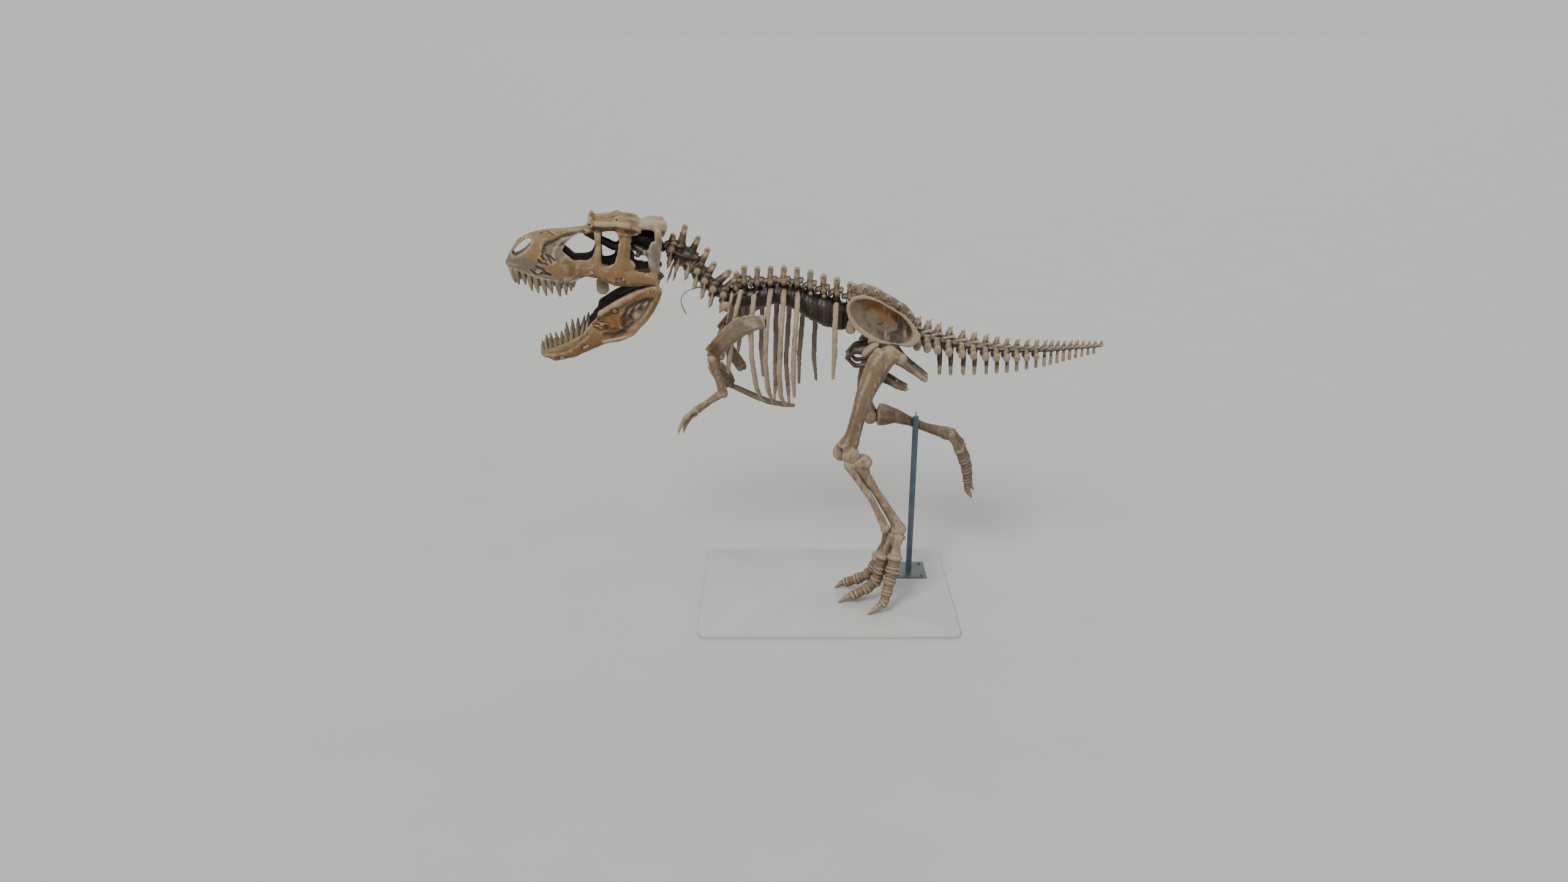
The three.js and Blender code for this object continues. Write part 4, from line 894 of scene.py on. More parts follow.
def tooth_row(rows, measured_at, radius, name):
    """Both sides' teeth as one piece, with fine dark streaks"""
    slope = math.tan(sizes().camera_tilt)
    pieces = []
    for index, (x, z, tip_x, tip_z, depth) in enumerate(rows):
        drop = slope * (measured_at - depth)
        for side in SIDES:
            wide = radius * (1.12 if index % 3 == 1 else 0.94 if index > 7 else 1.0)
            root = Vector((x, side * depth, z - drop * 0.3))
            tip = Vector((tip_x, side * (depth - 4), tip_z - drop))
            deeper = (root - tip).normalized() * TOOTH_ROOT
            pieces.append(tooth(root + deeper, tip, wide, HEAD))
    piece = joined(pieces, name)
    mesh = piece.data
    points = read_points(mesh)
    for tint in TINTS:
        set_value(mesh, tint, np.zeros(len(points)))
    streak = np.clip(lumps(points * np.array((1, 1, 0.25)), 0.012, 5), 0, 1)
    set_value(mesh, "hollow", streak * 0.55)
    set_value(mesh, "grey", np.full(len(points), 0.12))
    painted(piece, paint_of("teeth"))


def make_skull():
    bone(
        "skull", "head", 3, sizes().head_grain, skull_extras(),
        soft=10, rounds=2, turn=HEAD, sculpt=sculpt_skull,
    )
    tooth_row(UPPER_TEETH, 150, 21.0, "upper_teeth")


# Lower jaw
JAW_SHELF = [(-1600, 2690), (-1512, 2738), (-1435, 2776), (-1271, 2852), (-1127, 2900)]
JAW_RIM = [(-1104, 2820), (-1212, 2628), (-1344, 2500), (-1458, 2450), (-1590, 2430)]
HINGE_WRINKLES = [
    [(-1148, 2875), (-1122, 2815)],
    [(-1129, 2884), (-1103, 2825)],
    [(-1109, 2897), (-1086, 2838)],
    [(-1168, 2868), (-1142, 2806)],
]


def sculpt_jaw(brush):
    across = np.abs(brush.at[:, 1])
    brush.dab((-1280, 2694), (170, 56), 52, rise=-15, grey=1.1)
    brush.dab((-1380, 2610), (60, 70), 30, rise=-9, grey=0.8)
    # Painted shade in the crevice round the rear hollow
    border = [(-1412, 2560), (-1400, 2665), (-1372, 2723), (-1294, 2778), (-1160, 2800)]
    brush.line(border, 30, rise=-4, hollow=0.45)
    brush.line(border, 12, rise=-3, hollow=0.3)
    # Raised veins lighter and painted shade in the grooves between them
    cup = brush.spot((-1290, 2680), (160, 50), 52, edge=0.6)
    veins = brush.fibres(52, 0.022, 4, along=0.35)
    brush.add(cup * np.maximum(veins, 0), rise=5, ridge=0.9)
    brush.add(cup * np.maximum(-veins, 0), rise=-4, hollow=0.45)
    brush.dab((-1490, 2525), (90, 32), -6, edge=1.1, rise=-10, stain=1.2, hollow=0.3)
    brush.dab((-1600, 2590), (80, 50), -10, rise=-8, hollow=0.2, stain=0.5)
    # Painted shade in the creases, the ridges between them lighter
    creased = brush.spot((-1622, 2592), (78, 62), -14, edge=0.7)
    creases = brush.fibres(-12, 0.011, 12, along=0.25)
    brush.add(creased * soft_step((creases - 0.05) / 0.3), rise=-4, hollow=0.38)
    brush.add(creased * soft_step((-creases - 0.1) / 0.3), rise=3, ridge=0.4)
    brush.boss((-1479, 2709), (22, 22))
    brush.boss((-1744, 2388), (34, 15), 24)
    brush.boss((-1954, 2284), (24, 16), 10)
    brush.dab((-1954, 2284), (18, 12), ridge=0.8)
    # Painted shade in the wrinkles by the hinge
    for line in HINGE_WRINKLES:
        brush.line(line, 6, rise=-4, hollow=0.45)
    margin = [(-2121, 2322), (-2035, 2330), (-1930, 2350), (-1840, 2400), (-1797, 2440), (-1717, 2510)]
    brush.line(margin, 12, rise=-3, hollow=0.1)
    brush.line(moved(margin, 8, -26), 18, rise=2, ridge=0.08)
    # A raised line made lighter, and a groove under it with painted shade
    brush.line([(-1590, 2440), (-1500, 2455), (-1420, 2470)], 14, rise=5, ridge=0.7)
    brush.line([(-1580, 2500), (-1500, 2486), (-1440, 2506), (-1380, 2546)], 22, rise=-5, hollow=0.5)
    # Ochre all over, the deepest around the hollows and under the chin
    brush.add(1, stain=0.34)
    brush.dab((-1480, 2610), (120, 70), 20, edge=1.0, stain=0.8)
    brush.dab((-2040, 2262), (130, 50), 10, edge=1.0, stain=0.8, hollow=0.15)
    brush.dab((-1620, 2420), (200, 50), 16, edge=1.0, stain=0.4)
    # Painted shade on the jaw's inward faces, deeper on the far side
    inward = soft_step((-brush.out[:, 1] * np.sign(brush.at[:, 1]) - 0.1) / 0.3)
    brush.add(inward * soft_step((brush.at[:, 0] + 1900) / 300), dark=0.95, hollow=0.5)
    far = soft_step((brush.at[:, 1] - 60) / 60) * soft_step((brush.at[:, 0] + 1800) / 200)
    brush.add(far * inward, dark=0.5)


def make_jaw():
    extras = []
    for side in SIDES:
        extras += chain(at_side(JAW_SHELF, side, 212), (26, 30, 34, 34, 26), HEAD)
        extras += chain(at_side(JAW_RIM, side, 200), (20, 24, 26, 22, 14), HEAD)
        extras.append(ball((-1100, side * 222, 2862), (36, 26, 52), HEAD))
        extras.append(ball((-1590, side * 186, 2668), (44, 24, 44), HEAD))
    bone("jaw", "head", 5, sizes().head_grain, extras, soft=7, rounds=2, turn=HEAD, sculpt=sculpt_jaw)
    tooth_row(LOWER_TEETH, 110, 17.5, "lower_teeth")


# Small rings round a middle darkened as painted shade, as on the tips of the spines
def badge(centre, radius, turn=PLAIN, side=-1):
    ring = stamp("ring", centre, (radius, radius, radius * 0.8), turn, (0, side, 0))
    middle = ball(centre, (radius * 0.62, radius * 0.35, radius * 0.62), turn)
    set_value(ring.data, "ridge", np.full(len(ring.data.vertices), 0.6))
    set_value(middle.data, "hollow", np.full(len(middle.data.vertices), 1.0))
    return [ring, middle]


def with_badges(piece, badges):
    """Joins ready marks to a finished bone, which keeps its paint and its ties"""
    for mark in badges:
        mark.data.materials.append(piece.data.materials[0])
    return joined([piece, *badges], piece.name)


# Neck, in the frame's own direction, its middle plane set aside
NECK_MIDDLE = 100
NECK = [
    ((-968, 3194), (-950, 3300), 56),
    ((-905, 3150), (-846, 3376), 92),
    ((-822, 3086), (-738, 3280), 96),
    ((-752, 3006), (-660, 3176), 78),
    ((-690, 2920), (-606, 3052), 62),
    ((-620, 2846), (-478, 2990), 62),
    ((-530, 2796), (-400, 2950), 64),
]


def neck_extras(first, last):
    pieces, badges = [], []
    for (x, z), (tx, tz), radius in NECK[first:last]:
        pieces.append(ball((tx, NECK_MIDDLE, tz - 6), (26, 22, 28)))
        pieces.append(ball((tx - 8, NECK_MIDDLE, tz - 42), (20, 18, 14)))
        pieces.append(rod((x + 10, NECK_MIDDLE, z + radius * 0.4), (tx - 2, NECK_MIDDLE, tz - 26), 38, 22))
        for side in SIDES:
            y = NECK_MIDDLE + side * 42
            pieces.append(ball((x + 22, y + side * 6, z + radius * 0.66), (40, 22, 26)))
            pieces.append(ball((x - 36, y, z + radius * 0.5), (28, 20, 24)))
            pieces.append(ball((x + 4, y + side * 22, z - 6), (38, 24, 42)))
            pieces.append(ball((x - 8, y + side * 4, z - 56), (34, 24, 30)))
            paddle = (x - 22, NECK_MIDDLE + side * 92, z - 122)
            pieces.append(ball(paddle, (27, 12, 42), lean=(0.28, 0, 1)))
            pieces.append(rod((x + 4, y + side * 20, z - 22), paddle, 17, 22, flat=0.7))
            badges += badge((tx, NECK_MIDDLE + side * 21, tz - 2), 9, PLAIN, side)
    return pieces, badges


def neck_tips(brush):
    z = brush.at[:, 2]
    tips = np.array([(tx, tz) for _, (tx, tz), _ in NECK])
    flat = brush.at[:, [0, 2]]
    near = np.min(np.linalg.norm(flat[:, None] - tips[None], axis=2), axis=1)
    pale = soft_step((80 - near) / 40)
    paddle = soft_step((np.abs(brush.at[:, 1] - NECK_MIDDLE) - 70) / 18)
    rest = 1 - np.clip(pale + paddle, 0, 1)
    brush.add(rest, dark=0.72, stain=0.4)
    brush.add(pale, ridge=0.3)
    brush.add(paddle, ridge=0.2, grey=0.2)
    plate = brush.spot((-838, 3146), (124, 74), 14, side=False) * soft_step((z - 3060) / 30)
    brush.add(plate, dark=0.95, ridge=-0.5, stain=0.3)
    brush.line([(-930, 3100), (-850, 3086), (-770, 3110)], 20, stain=1.6, dark=-0.7)


def make_neck():
    for seed, (node, first, last) in enumerate((("neck_front", 0, 3), ("neck_back", 3, 7))):
        extras, badges = neck_extras(first, last)
        if node == "neck_front":
            for side in SIDES:
                plate = (-838, NECK_MIDDLE + side * 76, 3146)
                extras.append(ball(plate, (62, 22, 108), lean=(-1, 0, 0.25)))
        piece = bone(
            node, "bone", 11 + seed, 0.006, extras,
            rounds=8, middle=NECK_MIDDLE, sculpt=neck_tips,
        )
        with_badges(piece, badges)
    bone("throat_rod", "dark", 13, 0.005, rounds=8)


# Rib cage: the column's centre and half depth, the spines' tops
COLUMN = np.array(
    [
        (-520, 2775, 62), (-400, 2745, 72), (-233, 2757, 88), (-95, 2788, 78), (1, 2786, 84),
        (130, 2750, 96), (216, 2700, 112), (365, 2652, 130), (490, 2612, 122), (560, 2606, 112),
    ],
    float,
)
SPINE_TOPS = [3030, 3024, 3030, 3034, 3024, 3000, 2966, 2942, 2905]
SPINES = [(-418, 2975)] + [(-349 + 115 * index, top) for index, top in enumerate(SPINE_TOPS)]


def spine_extras(spines, turn, collar=True):
    """Knobs on the spines' tips, the collars under them and the rings that mark them"""
    pieces, badges = [], []
    for x, top in spines:
        pieces.append(ball((x, 0, top - 18), (29, 25, 36), turn))
        pieces.append(ball((x, 0, top - 62), (24, 21, 13), turn))
        for side in SIDES:
            badges += badge((x, side * 23, top - 14), 11, turn, side)
            if collar:
                low = top - 104
                pieces.append(rod((x - 34, side * 30, low - 14), (x + 36, side * 34, low + 2), 17, 19, turn))
                pieces.append(ball((x - 36, side * 32, low - 14), (20, 18, 22), turn))
                pieces.append(ball((x + 38, side * 36, low), (20, 20, 24), turn))
                pieces.append(rod((x, side * 12, low + 8), (x + 6, side * 84, low - 30), 22, 24, turn))
                pieces.append(ball((x + 60, side * 26, low - 52), (22, 16, 22), turn))
    return pieces, badges


def sculpt_cage(brush):
    x, y, z = brush.at.T
    centre = np.interp(x, COLUMN[:, 0], COLUMN[:, 1])
    depth = np.interp(x, COLUMN[:, 0], COLUMN[:, 2])
    away = np.hypot(y, z - centre) / depth
    body = soft_step((1.22 - away) / 0.25)
    brush.add(body, dark=1.0, hollow=0.4)
    rear = soft_step((x - 150) / 80)
    folds = np.sin((x - 150) / 19.0 + lumps(brush.at / 1000, 0.12, 4)) * rear * body
    # Painted shade in the grooves between the folds; the raised folds warmer and a little lighter
    brush.add(np.maximum(folds, 0), rise=-4, hollow=0.35)
    brush.add(np.maximum(-folds, 0), rise=3, stain=0.7, dark=-0.1)
    collar = soft_step((z - centre - depth * 0.85) / 20) * soft_step((120 - np.abs(y)) / 20)
    knob_line = np.interp(x, *zip(*SPINES))
    brush.add(collar * soft_step((knob_line - 60 - z) / 30), dark=0.5, hollow=0.15)
    brush.add(brush.spot((-478, 2742), (64, 56)) * (y < -200), stain=1.4, hollow=0.2)
    rib = soft_step((np.abs(y) - 110) / 40)
    brush.add(rib, ridge=0.12)
    # Painted shade: the far side's ribs darkened
    brush.add(rib * (y > 0), dark=0.45)
    brush.add(rib * soft_step((2000 - z) / 100), stain=0.35)


def make_trunk():
    extras, badges = spine_extras(SPINES, TRUNK)
    halves = [cad_copy("trunk_left", "trunk_left"), cad_copy("trunk_right", "trunk_right")]
    extras.append(ball((-478, -262, 2742), (50, 34, 44), TRUNK))
    for x in range(-480, 570, 38):
        centre, depth = (float(np.interp(x, COLUMN[:, 0], COLUMN[:, key])) for key in (1, 2))
        extras.append(ball((x, 0, centre), (58, depth * 0.98, depth * 1.07), TRUNK))
    piece = cast(joined(halves + extras, "rib_cage"), sizes().trunk_grain)
    weather(piece, 17, rough=0.0012, rounds=20, turn=TRUNK, sculpt=sculpt_cage)
    dressed(piece, paint_of("bone"), ["trunk_left", "trunk_right"])
    with_badges(piece, badges)
    bone("sternum", "bone", 19, sculpt=lambda brush: brush.add(1, dark=0.45, stain=0.3))


# Fore limbs
def sculpt_scapula(brush):
    x = brush.at[:, 0]
    upper = soft_step((x + 420) / 160)
    brush.add(upper, grey=0.95, ridge=0.15)
    brush.add(soft_step((-470 - x) / 120), stain=0.6, hollow=0.3)
    brush.dab((-560, 2390), (60, 70), 30, edge=0.9, hollow=0.3, dark=0.2)
    brush.dab((-250, 2640), (70, 30), -14, rise=-4, ridge=0.5)


# Elbow, wrist and the way the hand points, and the hand's digits: side, rise, length and drop
ARMS = {
    -1: {
        "elbow": (-506, 362, 1998), "low": (-534, 362, 1982),
        "wrist": (-734, 352, 1832), "lean": (-0.78, -0.62),
    },
    1: {
        "elbow": (-426, 352, 2024), "low": (-440, 352, 1998),
        "wrist": (-548, 452, 2080), "lean": (-0.4, 0.92),
    },
}
DIGITS = ((-22, 18, 120, 84), (22, -26, 56, 74))


def arm_extras(part, side):
    """Swollen ends and thicker shafts of a fore limb's bones"""
    arm = ARMS[side]
    elbow, low, wrist = ((x, side * y, z) for x, y, z in (arm["elbow"], arm["low"], arm["wrist"]))
    if part == "humerus":
        top = (-592, side * 360, 2300)
        middle = tuple(top[k] * 0.55 + elbow[k] * 0.45 for k in range(3))
        return chain([top, middle, elbow], (46, 32, 44), TRUNK)
    if part == "forearm":
        middle = tuple((low[k] + wrist[k]) / 2 for k in range(3))
        return chain([low, middle, wrist], (38, 28, 34), TRUNK)
    pieces = []
    for aside, rise, length, drop in DIGITS:
        stations = (
            (34, aside * 0.5, rise, 25), (80, aside, rise, 17), (126, aside, rise - 4, 26),
            (126 + length * 0.4, aside, rise - 14 - drop * 0.2, 20),
            (126 + length * 0.8, aside, rise - 26 - drop * 0.6, 12),
        )
        line = [
            (wrist[0] + arm["lean"][0] * along, wrist[1] + shift, wrist[2] + arm["lean"][1] * along + up)
            for along, shift, up, _ in stations
        ]
        pieces += chain(line, [station[3] for station in stations], TRUNK)
    return pieces


def make_arms():
    # Painted shade: the far (right) limb's bones darkened
    far_side_shade = {-1: 0.0, 1: 0.45}
    for side in SIDES:
        name = SIDE_NAMES[side]
        bone(f"scapula_{name}", "bone", 23 + side, 0.006, turn=TRUNK, rounds=40, sculpt=sculpt_scapula)
        for seed, part in enumerate(("humerus", "forearm", "hand")):
            bone(
                f"{part}_{name}", "bone", 26 + seed * 2 + side, 0.005, arm_extras(part, side),
                turn=TRUNK, rounds=14,
                sculpt=lambda brush: brush.add(1, dark=far_side_shade[side], stain=0.25),
            )


# Hips
SACRUM_SPINES = [(602, 2890), (702, 2872), (802, 2842), (902, 2792), (1002, 2724), (1097, 2650)]
DISH = {
    "centre": (864, 2606), "size": (345, 172), "tilt": -30,
    "inner": (846, 2622), "inner_size": (306, 146),
}


def sculpt_sacrum(brush):
    z = brush.at[:, 2]
    tops = np.interp(brush.at[:, 0], *zip(*SACRUM_SPINES))
    brush.add(soft_step((tops - 70 - z) / 50), dark=0.9)


def sculpt_ilium(brush):
    reach = brush.oval(DISH["centre"], DISH["size"], DISH["tilt"])
    along, across = brush.axes(DISH["centre"], DISH["tilt"])
    outer = soft_step((np.abs(brush.at[:, 1]) - 140) / 20) * brush.facing
    inner_reach = brush.oval(DISH["inner"], DISH["inner_size"], DISH["tilt"])
    inside = outer * soft_step((1.02 - inner_reach) / 0.12)
    rim = outer * soft_step((inner_reach - 0.96) / 0.08)
    brush.add(inside * (1 - np.clip(inner_reach, 0, 1) ** 2), rise=-26)
    depth = np.abs(brush.at[:, 1])
    around = (outer > 0.5) & (reach > 0.26) & (reach < 0.42)
    hub = soft_step((depth - 140) / 20) * soft_step((0.32 - reach) / 0.12)
    brush.add(hub, rise=np.median(depth[around]) + 4 - depth if around.any() else 0)
    # Takes the painted shade out of the dish's middle
    brush.add(inside * soft_step((0.45 - reach) / 0.2), hollow=-2.0)
    brush.add(rim, ridge=0.85, rise=3, hollow=-0.4)
    streak = np.clip(brush.fibres(98, 0.034, 8) * 0.7 + brush.fibres(94, 0.014, 9) * 0.5, -1, 1)
    back = soft_step((along - 10) / 120) * soft_step((290 - along) / 90)
    brush.add(inside * np.maximum(streak, 0), hollow=0.35)
    brush.add(inside * back * soft_step((streak + 0.5) / 0.8), hollow=0.75, grey=0.6)
    brush.add(inside * np.maximum(-streak, 0), ridge=0.8)
    top = soft_step((across + 10) / 90)
    brush.add(inside * top * (1 - back * 0.6), stain=1.3)
    brush.add(inside * soft_step((-across - 70) / 40), grey=0.6)


def sculpt_pubis(brush):
    """Nearly black loops in front, the boot behind tan with a dark upper edge"""
    boot = soft_step((brush.at[:, 0] - 930) / 60)
    bulb = brush.spot((748, 2372), (112, 62), 38, edge=0.3, side=False)
    bulb *= soft_step((np.abs(brush.at[:, 1]) - 140) / 20)
    brush.add((1 - boot) * (1 - bulb), dark=0.85)
    brush.add(bulb, ridge=0.3)
    brush.add(boot * soft_step((brush.out[:, 2] - 0.1) / 0.6), dark=0.6)
    brush.add(boot, stain=0.3)


def make_hips():
    extras, badges = spine_extras(SACRUM_SPINES, TRUNK, collar=False)
    piece = bone("sacrum", "bone", 31, 0.007, extras, turn=TRUNK, sculpt=sculpt_sacrum)
    with_badges(piece, badges)
    bulbs = [ball((748, side * 205, 2372), (46, 46, 98), lean=(151, 0, 118)) for side in SIDES]
    bone("pubis", "bone", 33, None, bulbs, turn=TRUNK, soft=9, rounds=2, sculpt=sculpt_pubis)
    bone(
        "ischium", "bone", 35, turn=TRUNK, soft=9, rounds=2,
        sculpt=lambda brush: brush.add(soft_step((brush.out[:, 2] - 0.1) / 0.6), dark=0.6),
    )
    for side in SIDES:
        bone(
            f"ilium_{SIDE_NAMES[side]}", "bone", 37 + side,
            grain=0.0055, soft=26, rounds=2, turn=TRUNK, sculpt=sculpt_ilium,
        )


# Hind limbs and feet: joints of each toe from the foot bone to the claw's tip
TOES = {
    "inner_left": [
        (880, -316, 420), (842, -292, 290), (788, -264, 200), (690, -232, 138), (596, -200, 86),
        (484, -165, 3),
    ],
    "middle_left": [
        (908, -398, 482), (880, -410, 330), (850, -418, 226), (760, -425, 138), (650, -430, 82),
        (500, -435, 3),
    ],
    "outer_left": [
        (1005, -466, 500), (984, -502, 376), (956, -534, 280), (932, -570, 180), (910, -600, 100),
        (760, -655, 3),
    ],
    "inner_right": [
        (1634, 183, 1276), (1684, 188, 1154), (1712, 190, 1054), (1728, 192, 954), (1738, 194, 874),
        (1790, 198, 774),
    ],
    "middle_right": [
        (1654, 271, 1266), (1712, 275, 1140), (1742, 278, 1020), (1758, 280, 915), (1762, 282, 850),
        (1812, 286, 742),
    ],
    "outer_right": [
        (1679, 359, 1260), (1736, 364, 1136), (1766, 368, 1036), (1782, 370, 956), (1788, 372, 886),
        (1840, 376, 772),
    ],
}


def along_line(at, line):
    """Length along a line of joints at each point, and the line's whole length"""
    best = np.full(len(at), 1e9)
    length = np.zeros(len(at))
    walked = 0.0
    for start, end in zip(line[:-1], line[1:]):
        start, end = np.array(start, float), np.array(end, float)
        way = end - start
        size = np.linalg.norm(way)
        share = np.clip((at - start) @ way / size**2, 0, 1)
        gap = np.linalg.norm(at - start - share[:, None] * way, axis=1)
        closer = gap < best
        best = np.where(closer, gap, best)
        length = np.where(closer, walked + share * size, length)
        walked += size
    return length, walked


def make_toe(key, seed):
    line = TOES[key]
    scale = 0.66 if key.endswith("right") else 1.0
    extras = []
    for index, (joint, after) in enumerate(zip(line[:-1], line[1:])):
        size = (70 - index * 6) * scale
        lean = Vector(after) - Vector(joint)
        centre = Vector(joint) + lean * 0.08
        extras.append(ball(centre, (size * 1.06, size * 1.06, size * 0.62), lean=lean))
        if index < 4:
            end = Vector(joint) + lean * 0.82
            thick = size - 3
            extras.append(ball(end, (thick, thick, thick * 0.6), lean=lean))
            extras.append(rod(centre, end, size * 0.8, size * 0.82))

    claw_start = sum(math.dist(a, b) for a, b in zip(line[:-2], line[1:-1]))

    def sculpt(brush):
        length, _ = along_line(brush.at, line)
        warp = lumps(brush.at / 1000, 0.06, seed) * 14
        wave = np.sin((length + warp) * 2 * math.pi / (33 * max(scale, 0.8)))
        skin = soft_step((claw_start + 10 - length) / 20) * soft_step((length - 20) / 20)
        patchy = skin * soft_step(lumps(brush.at / 1000, 0.09, seed + 3) + 0.6)
        # Wrinkles: painted shade in the grooves, the crests a little lighter
        brush.add(patchy * np.maximum(wave, 0), rise=0.8 * scale, ridge=0.06)
        brush.add(patchy * np.maximum(-wave, 0), rise=-1.4 * scale, hollow=0.2)
        brush.add(skin, stain=0.25, grey=0.35)
        brush.add(1 - skin, ridge=0.2)
        # Painted shade: the far foot's toes darkened
        if scale < 1:
            brush.add(1, dark=0.3)

    floor = board_high.z + 0.0004
    piece = bone(f"toe_{key}", "bone", seed, 0.005, extras, rounds=3, rough=0.001, sculpt=sculpt)
    points = read_points(piece.data)
    points[:, 2] = np.maximum(points[:, 2], floor)
    write_points(piece.data, points)


def sculpt_long_bone(line, seed, dark):
    """Fine streaks along the shaft, the ends warm and pitted"""

    def sculpt(brush):
        length, whole = along_line(brush.at, line)
        share = length / whole
        ends = soft_step((0.2 - share) / 0.12) + soft_step((share - 0.8) / 0.12)
        flat = np.stack([length / 1000 * 0.16, brush.at[:, 0] / 1000, brush.at[:, 1] / 1000], axis=1)
        streak = lumps(flat, 0.02, seed) + lumps(flat, 0.045, seed + 4)
        brush.add(np.maximum(streak, 0) * (1 - ends), ridge=0.35)
        brush.add(np.maximum(-streak, 0), hollow=0.22, rise=-1.2)
        brush.add(ends, ridge=0.3)
        brush.add(1, dark=dark, stain=0.18)

    return sculpt


LONG_BONES = {
    "femur_left": [(890, -290, 2380), (705, -304, 2005), (556, -322, 1420)],
    "tibia_left": [(640, -318, 1420), (825, -348, 1092), (1036, -374, 700)],
    "fibula_left": [(560, -372, 1370), (790, -396, 1020), (916, -406, 730)],
    "femur_right": [(890, 290, 2380), (756, 276, 1960), (790, 264, 1590)],
    "tibia_right": [(870, 258, 1600), (1180, 234, 1540), (1540, 262, 1410)],
    "fibula_right": [(850, 330, 1580), (1180, 318, 1520), (1520, 316, 1395)],
    "metatarsus_left": [(990, -378, 710), (950, -384, 570), (915, -394, 450)],
    "metatarsus_right": [(1560, 266, 1430), (1620, 268, 1345), (1655, 270, 1260)],
}
KNOBS = {
    "femur_left": [
        ((506, -286, 1452), (76, 56, 86)),
        ((588, -360, 1444), (84, 56, 92)),
        ((905, -290, 2345), (78, 66, 90)),
        ((1000, -296, 2318), (56, 50, 54)),
    ],
    "femur_right": [((800, 226, 1586), (68, 48, 68)), ((808, 302, 1592), (66, 46, 64))],
    "tibia_left": [
        ((1034, -374, 730), (78, 70, 66)),
        ((664, -322, 1368), (86, 84, 60)),
        ((722, -322, 1366), (66, 74, 58)),
    ],
    "tibia_right": [((1528, 262, 1412), (74, 70, 64))],
    "fibula_left": [((912, -406, 752), (46, 36, 52)), ((590, -372, 1362), (62, 40, 34))],
    "metatarsus_left": [
        ((1008, -458, 512), (56, 52, 52)),
        ((912, -392, 492), (52, 50, 48)),
        ((890, -318, 452), (50, 48, 46)),
        ((1060, -396, 660), (40, 34, 30)),
    ],
    "metatarsus_right": [((1566, 262, 1400), (56, 60, 50)), ((1652, 270, 1280), (46, 44, 44))],
}


def make_legs():
    # Painted shade: the far (right) limb's bones darkened
    far_side_shade = {-1: 0.0, 1: 0.38}
    for side in SIDES:
        for seed, part in enumerate(("femur", "tibia", "fibula", "metatarsus")):
            node = f"{part}_{SIDE_NAMES[side]}"
            extras = [ball(*knob) for knob in KNOBS.get(node, ())]
            if part == "fibula":
                extras += chain(LONG_BONES[node], (37, 30, 31) if side < 0 else (32, 27, 27))
            bone(
                node, "bone", 41 + seed * 3 + side, 0.0065, extras,
                soft=(16, 20, 8, 4)[seed], rounds=2,
                sculpt=sculpt_long_bone(LONG_BONES[node], 45 + seed, far_side_shade[side]),
            )
        for seed, part in enumerate(("inner", "middle", "outer")):
            make_toe(f"{part}_{SIDE_NAMES[side]}", 57 + seed * 2 + side)


# Tail
TAIL_X = [1150, 1240, 1330, 1432, 1548, 1652, 1762, 1860, 1956, 2050, 2144, 2234, 2316]
TAIL_X += [2316 + 62.8 * (index + 1) for index in range(9)]
TAIL_LENGTHS = [(0, 6), (6, 13), (13, 18), (18, 22)]
TAIL_HEIGHT = [
    (1100, 2478), (1400, 2402), (1650, 2350), (1900, 2308), (2150, 2284), (2400, 2272), (2900, 2250),
]
# Where the bend starts, where the thinning starts and its span, and the radius at both ends
TAIL_START, TAIL_ROOT, TAIL_SPAN = 1100, 1130, 1750
THICK_END, THIN_END = 58, 15


def tail_middle(x):
    """How far to the side the bent tail's middle lies"""
    back = x - TAIL_START
    return -24 - 0.0787 * back + 1.478e-4 * back**2


def tail_share(x):
    return (x - TAIL_ROOT) / TAIL_SPAN


def tail_radius(far):
    return THICK_END + (THIN_END - THICK_END) * far**0.9


def tail_point(x):
    """The tail's middle at a distance back, and how far back it is"""
    return tail_middle(x), float(np.interp(x, *zip(*TAIL_HEIGHT))), max(0.0, tail_share(x))


def tail_extras(first, last):
    pieces = []
    for index in range(first, last):
        x = TAIL_X[index]
        y, z, far = tail_point(x)
        size = tail_radius(far)
        step = (TAIL_X[index + 1] if index + 1 < len(TAIL_X) else x + 50) - x
        rise = 122 + (70 - 122) * min(1, far / 0.68)
        rise *= 1.95 - far * 1.4 if far > 0.68 else 1
        tip = Vector((x + rise * 0.2, y, z + rise * 1.02))
        small = 1 - far * 0.45
        for lean in SIDES:
            top = tip + Vector((lean * 17 * small, lean * 6, (26 if lean > 0 else 20) * small))
            low = tip - Vector((lean * 2, 0, 30))
            pieces += chain([low, tip + Vector((lean * 8, 0, 0)), top], [13 * small, 11 * small, 9 * small])
        for side in SIDES:
            level = z + size * 0.95
            pieces.append(
                rod(
                    (x - step * 0.2, y + side * 20 * small, level - 10),
                    (x + step * 0.36, y + side * 22 * small, level + 4),
                    19 * small, 15 * small,
                )
            )
            fore = (x - step * 0.26, y + side * 26 * small, level - 14)
            rear = (x + step * 0.4, y + side * 24 * small, level + 2)
            pieces.append(ball(fore, (22 * small, 16 * small, 20 * small)))
            pieces.append(ball(rear, (20 * small, 16 * small, 19 * small)))
            if index < 12:
                fall = 100 - far * 70
                low = (x + 8, y + side * (size * 0.7 + fall * 0.5), z - fall * 0.84)
                pieces.append(ball(low, (38 - far * 14, 26 - far * 8, 50 - far * 18)))
                root = (x + 2, y + side * size * 0.5, z + size * 0.3)
                pieces.append(rod(root, low, 32 * small, 35 * small, flat=0.8))
    return pieces


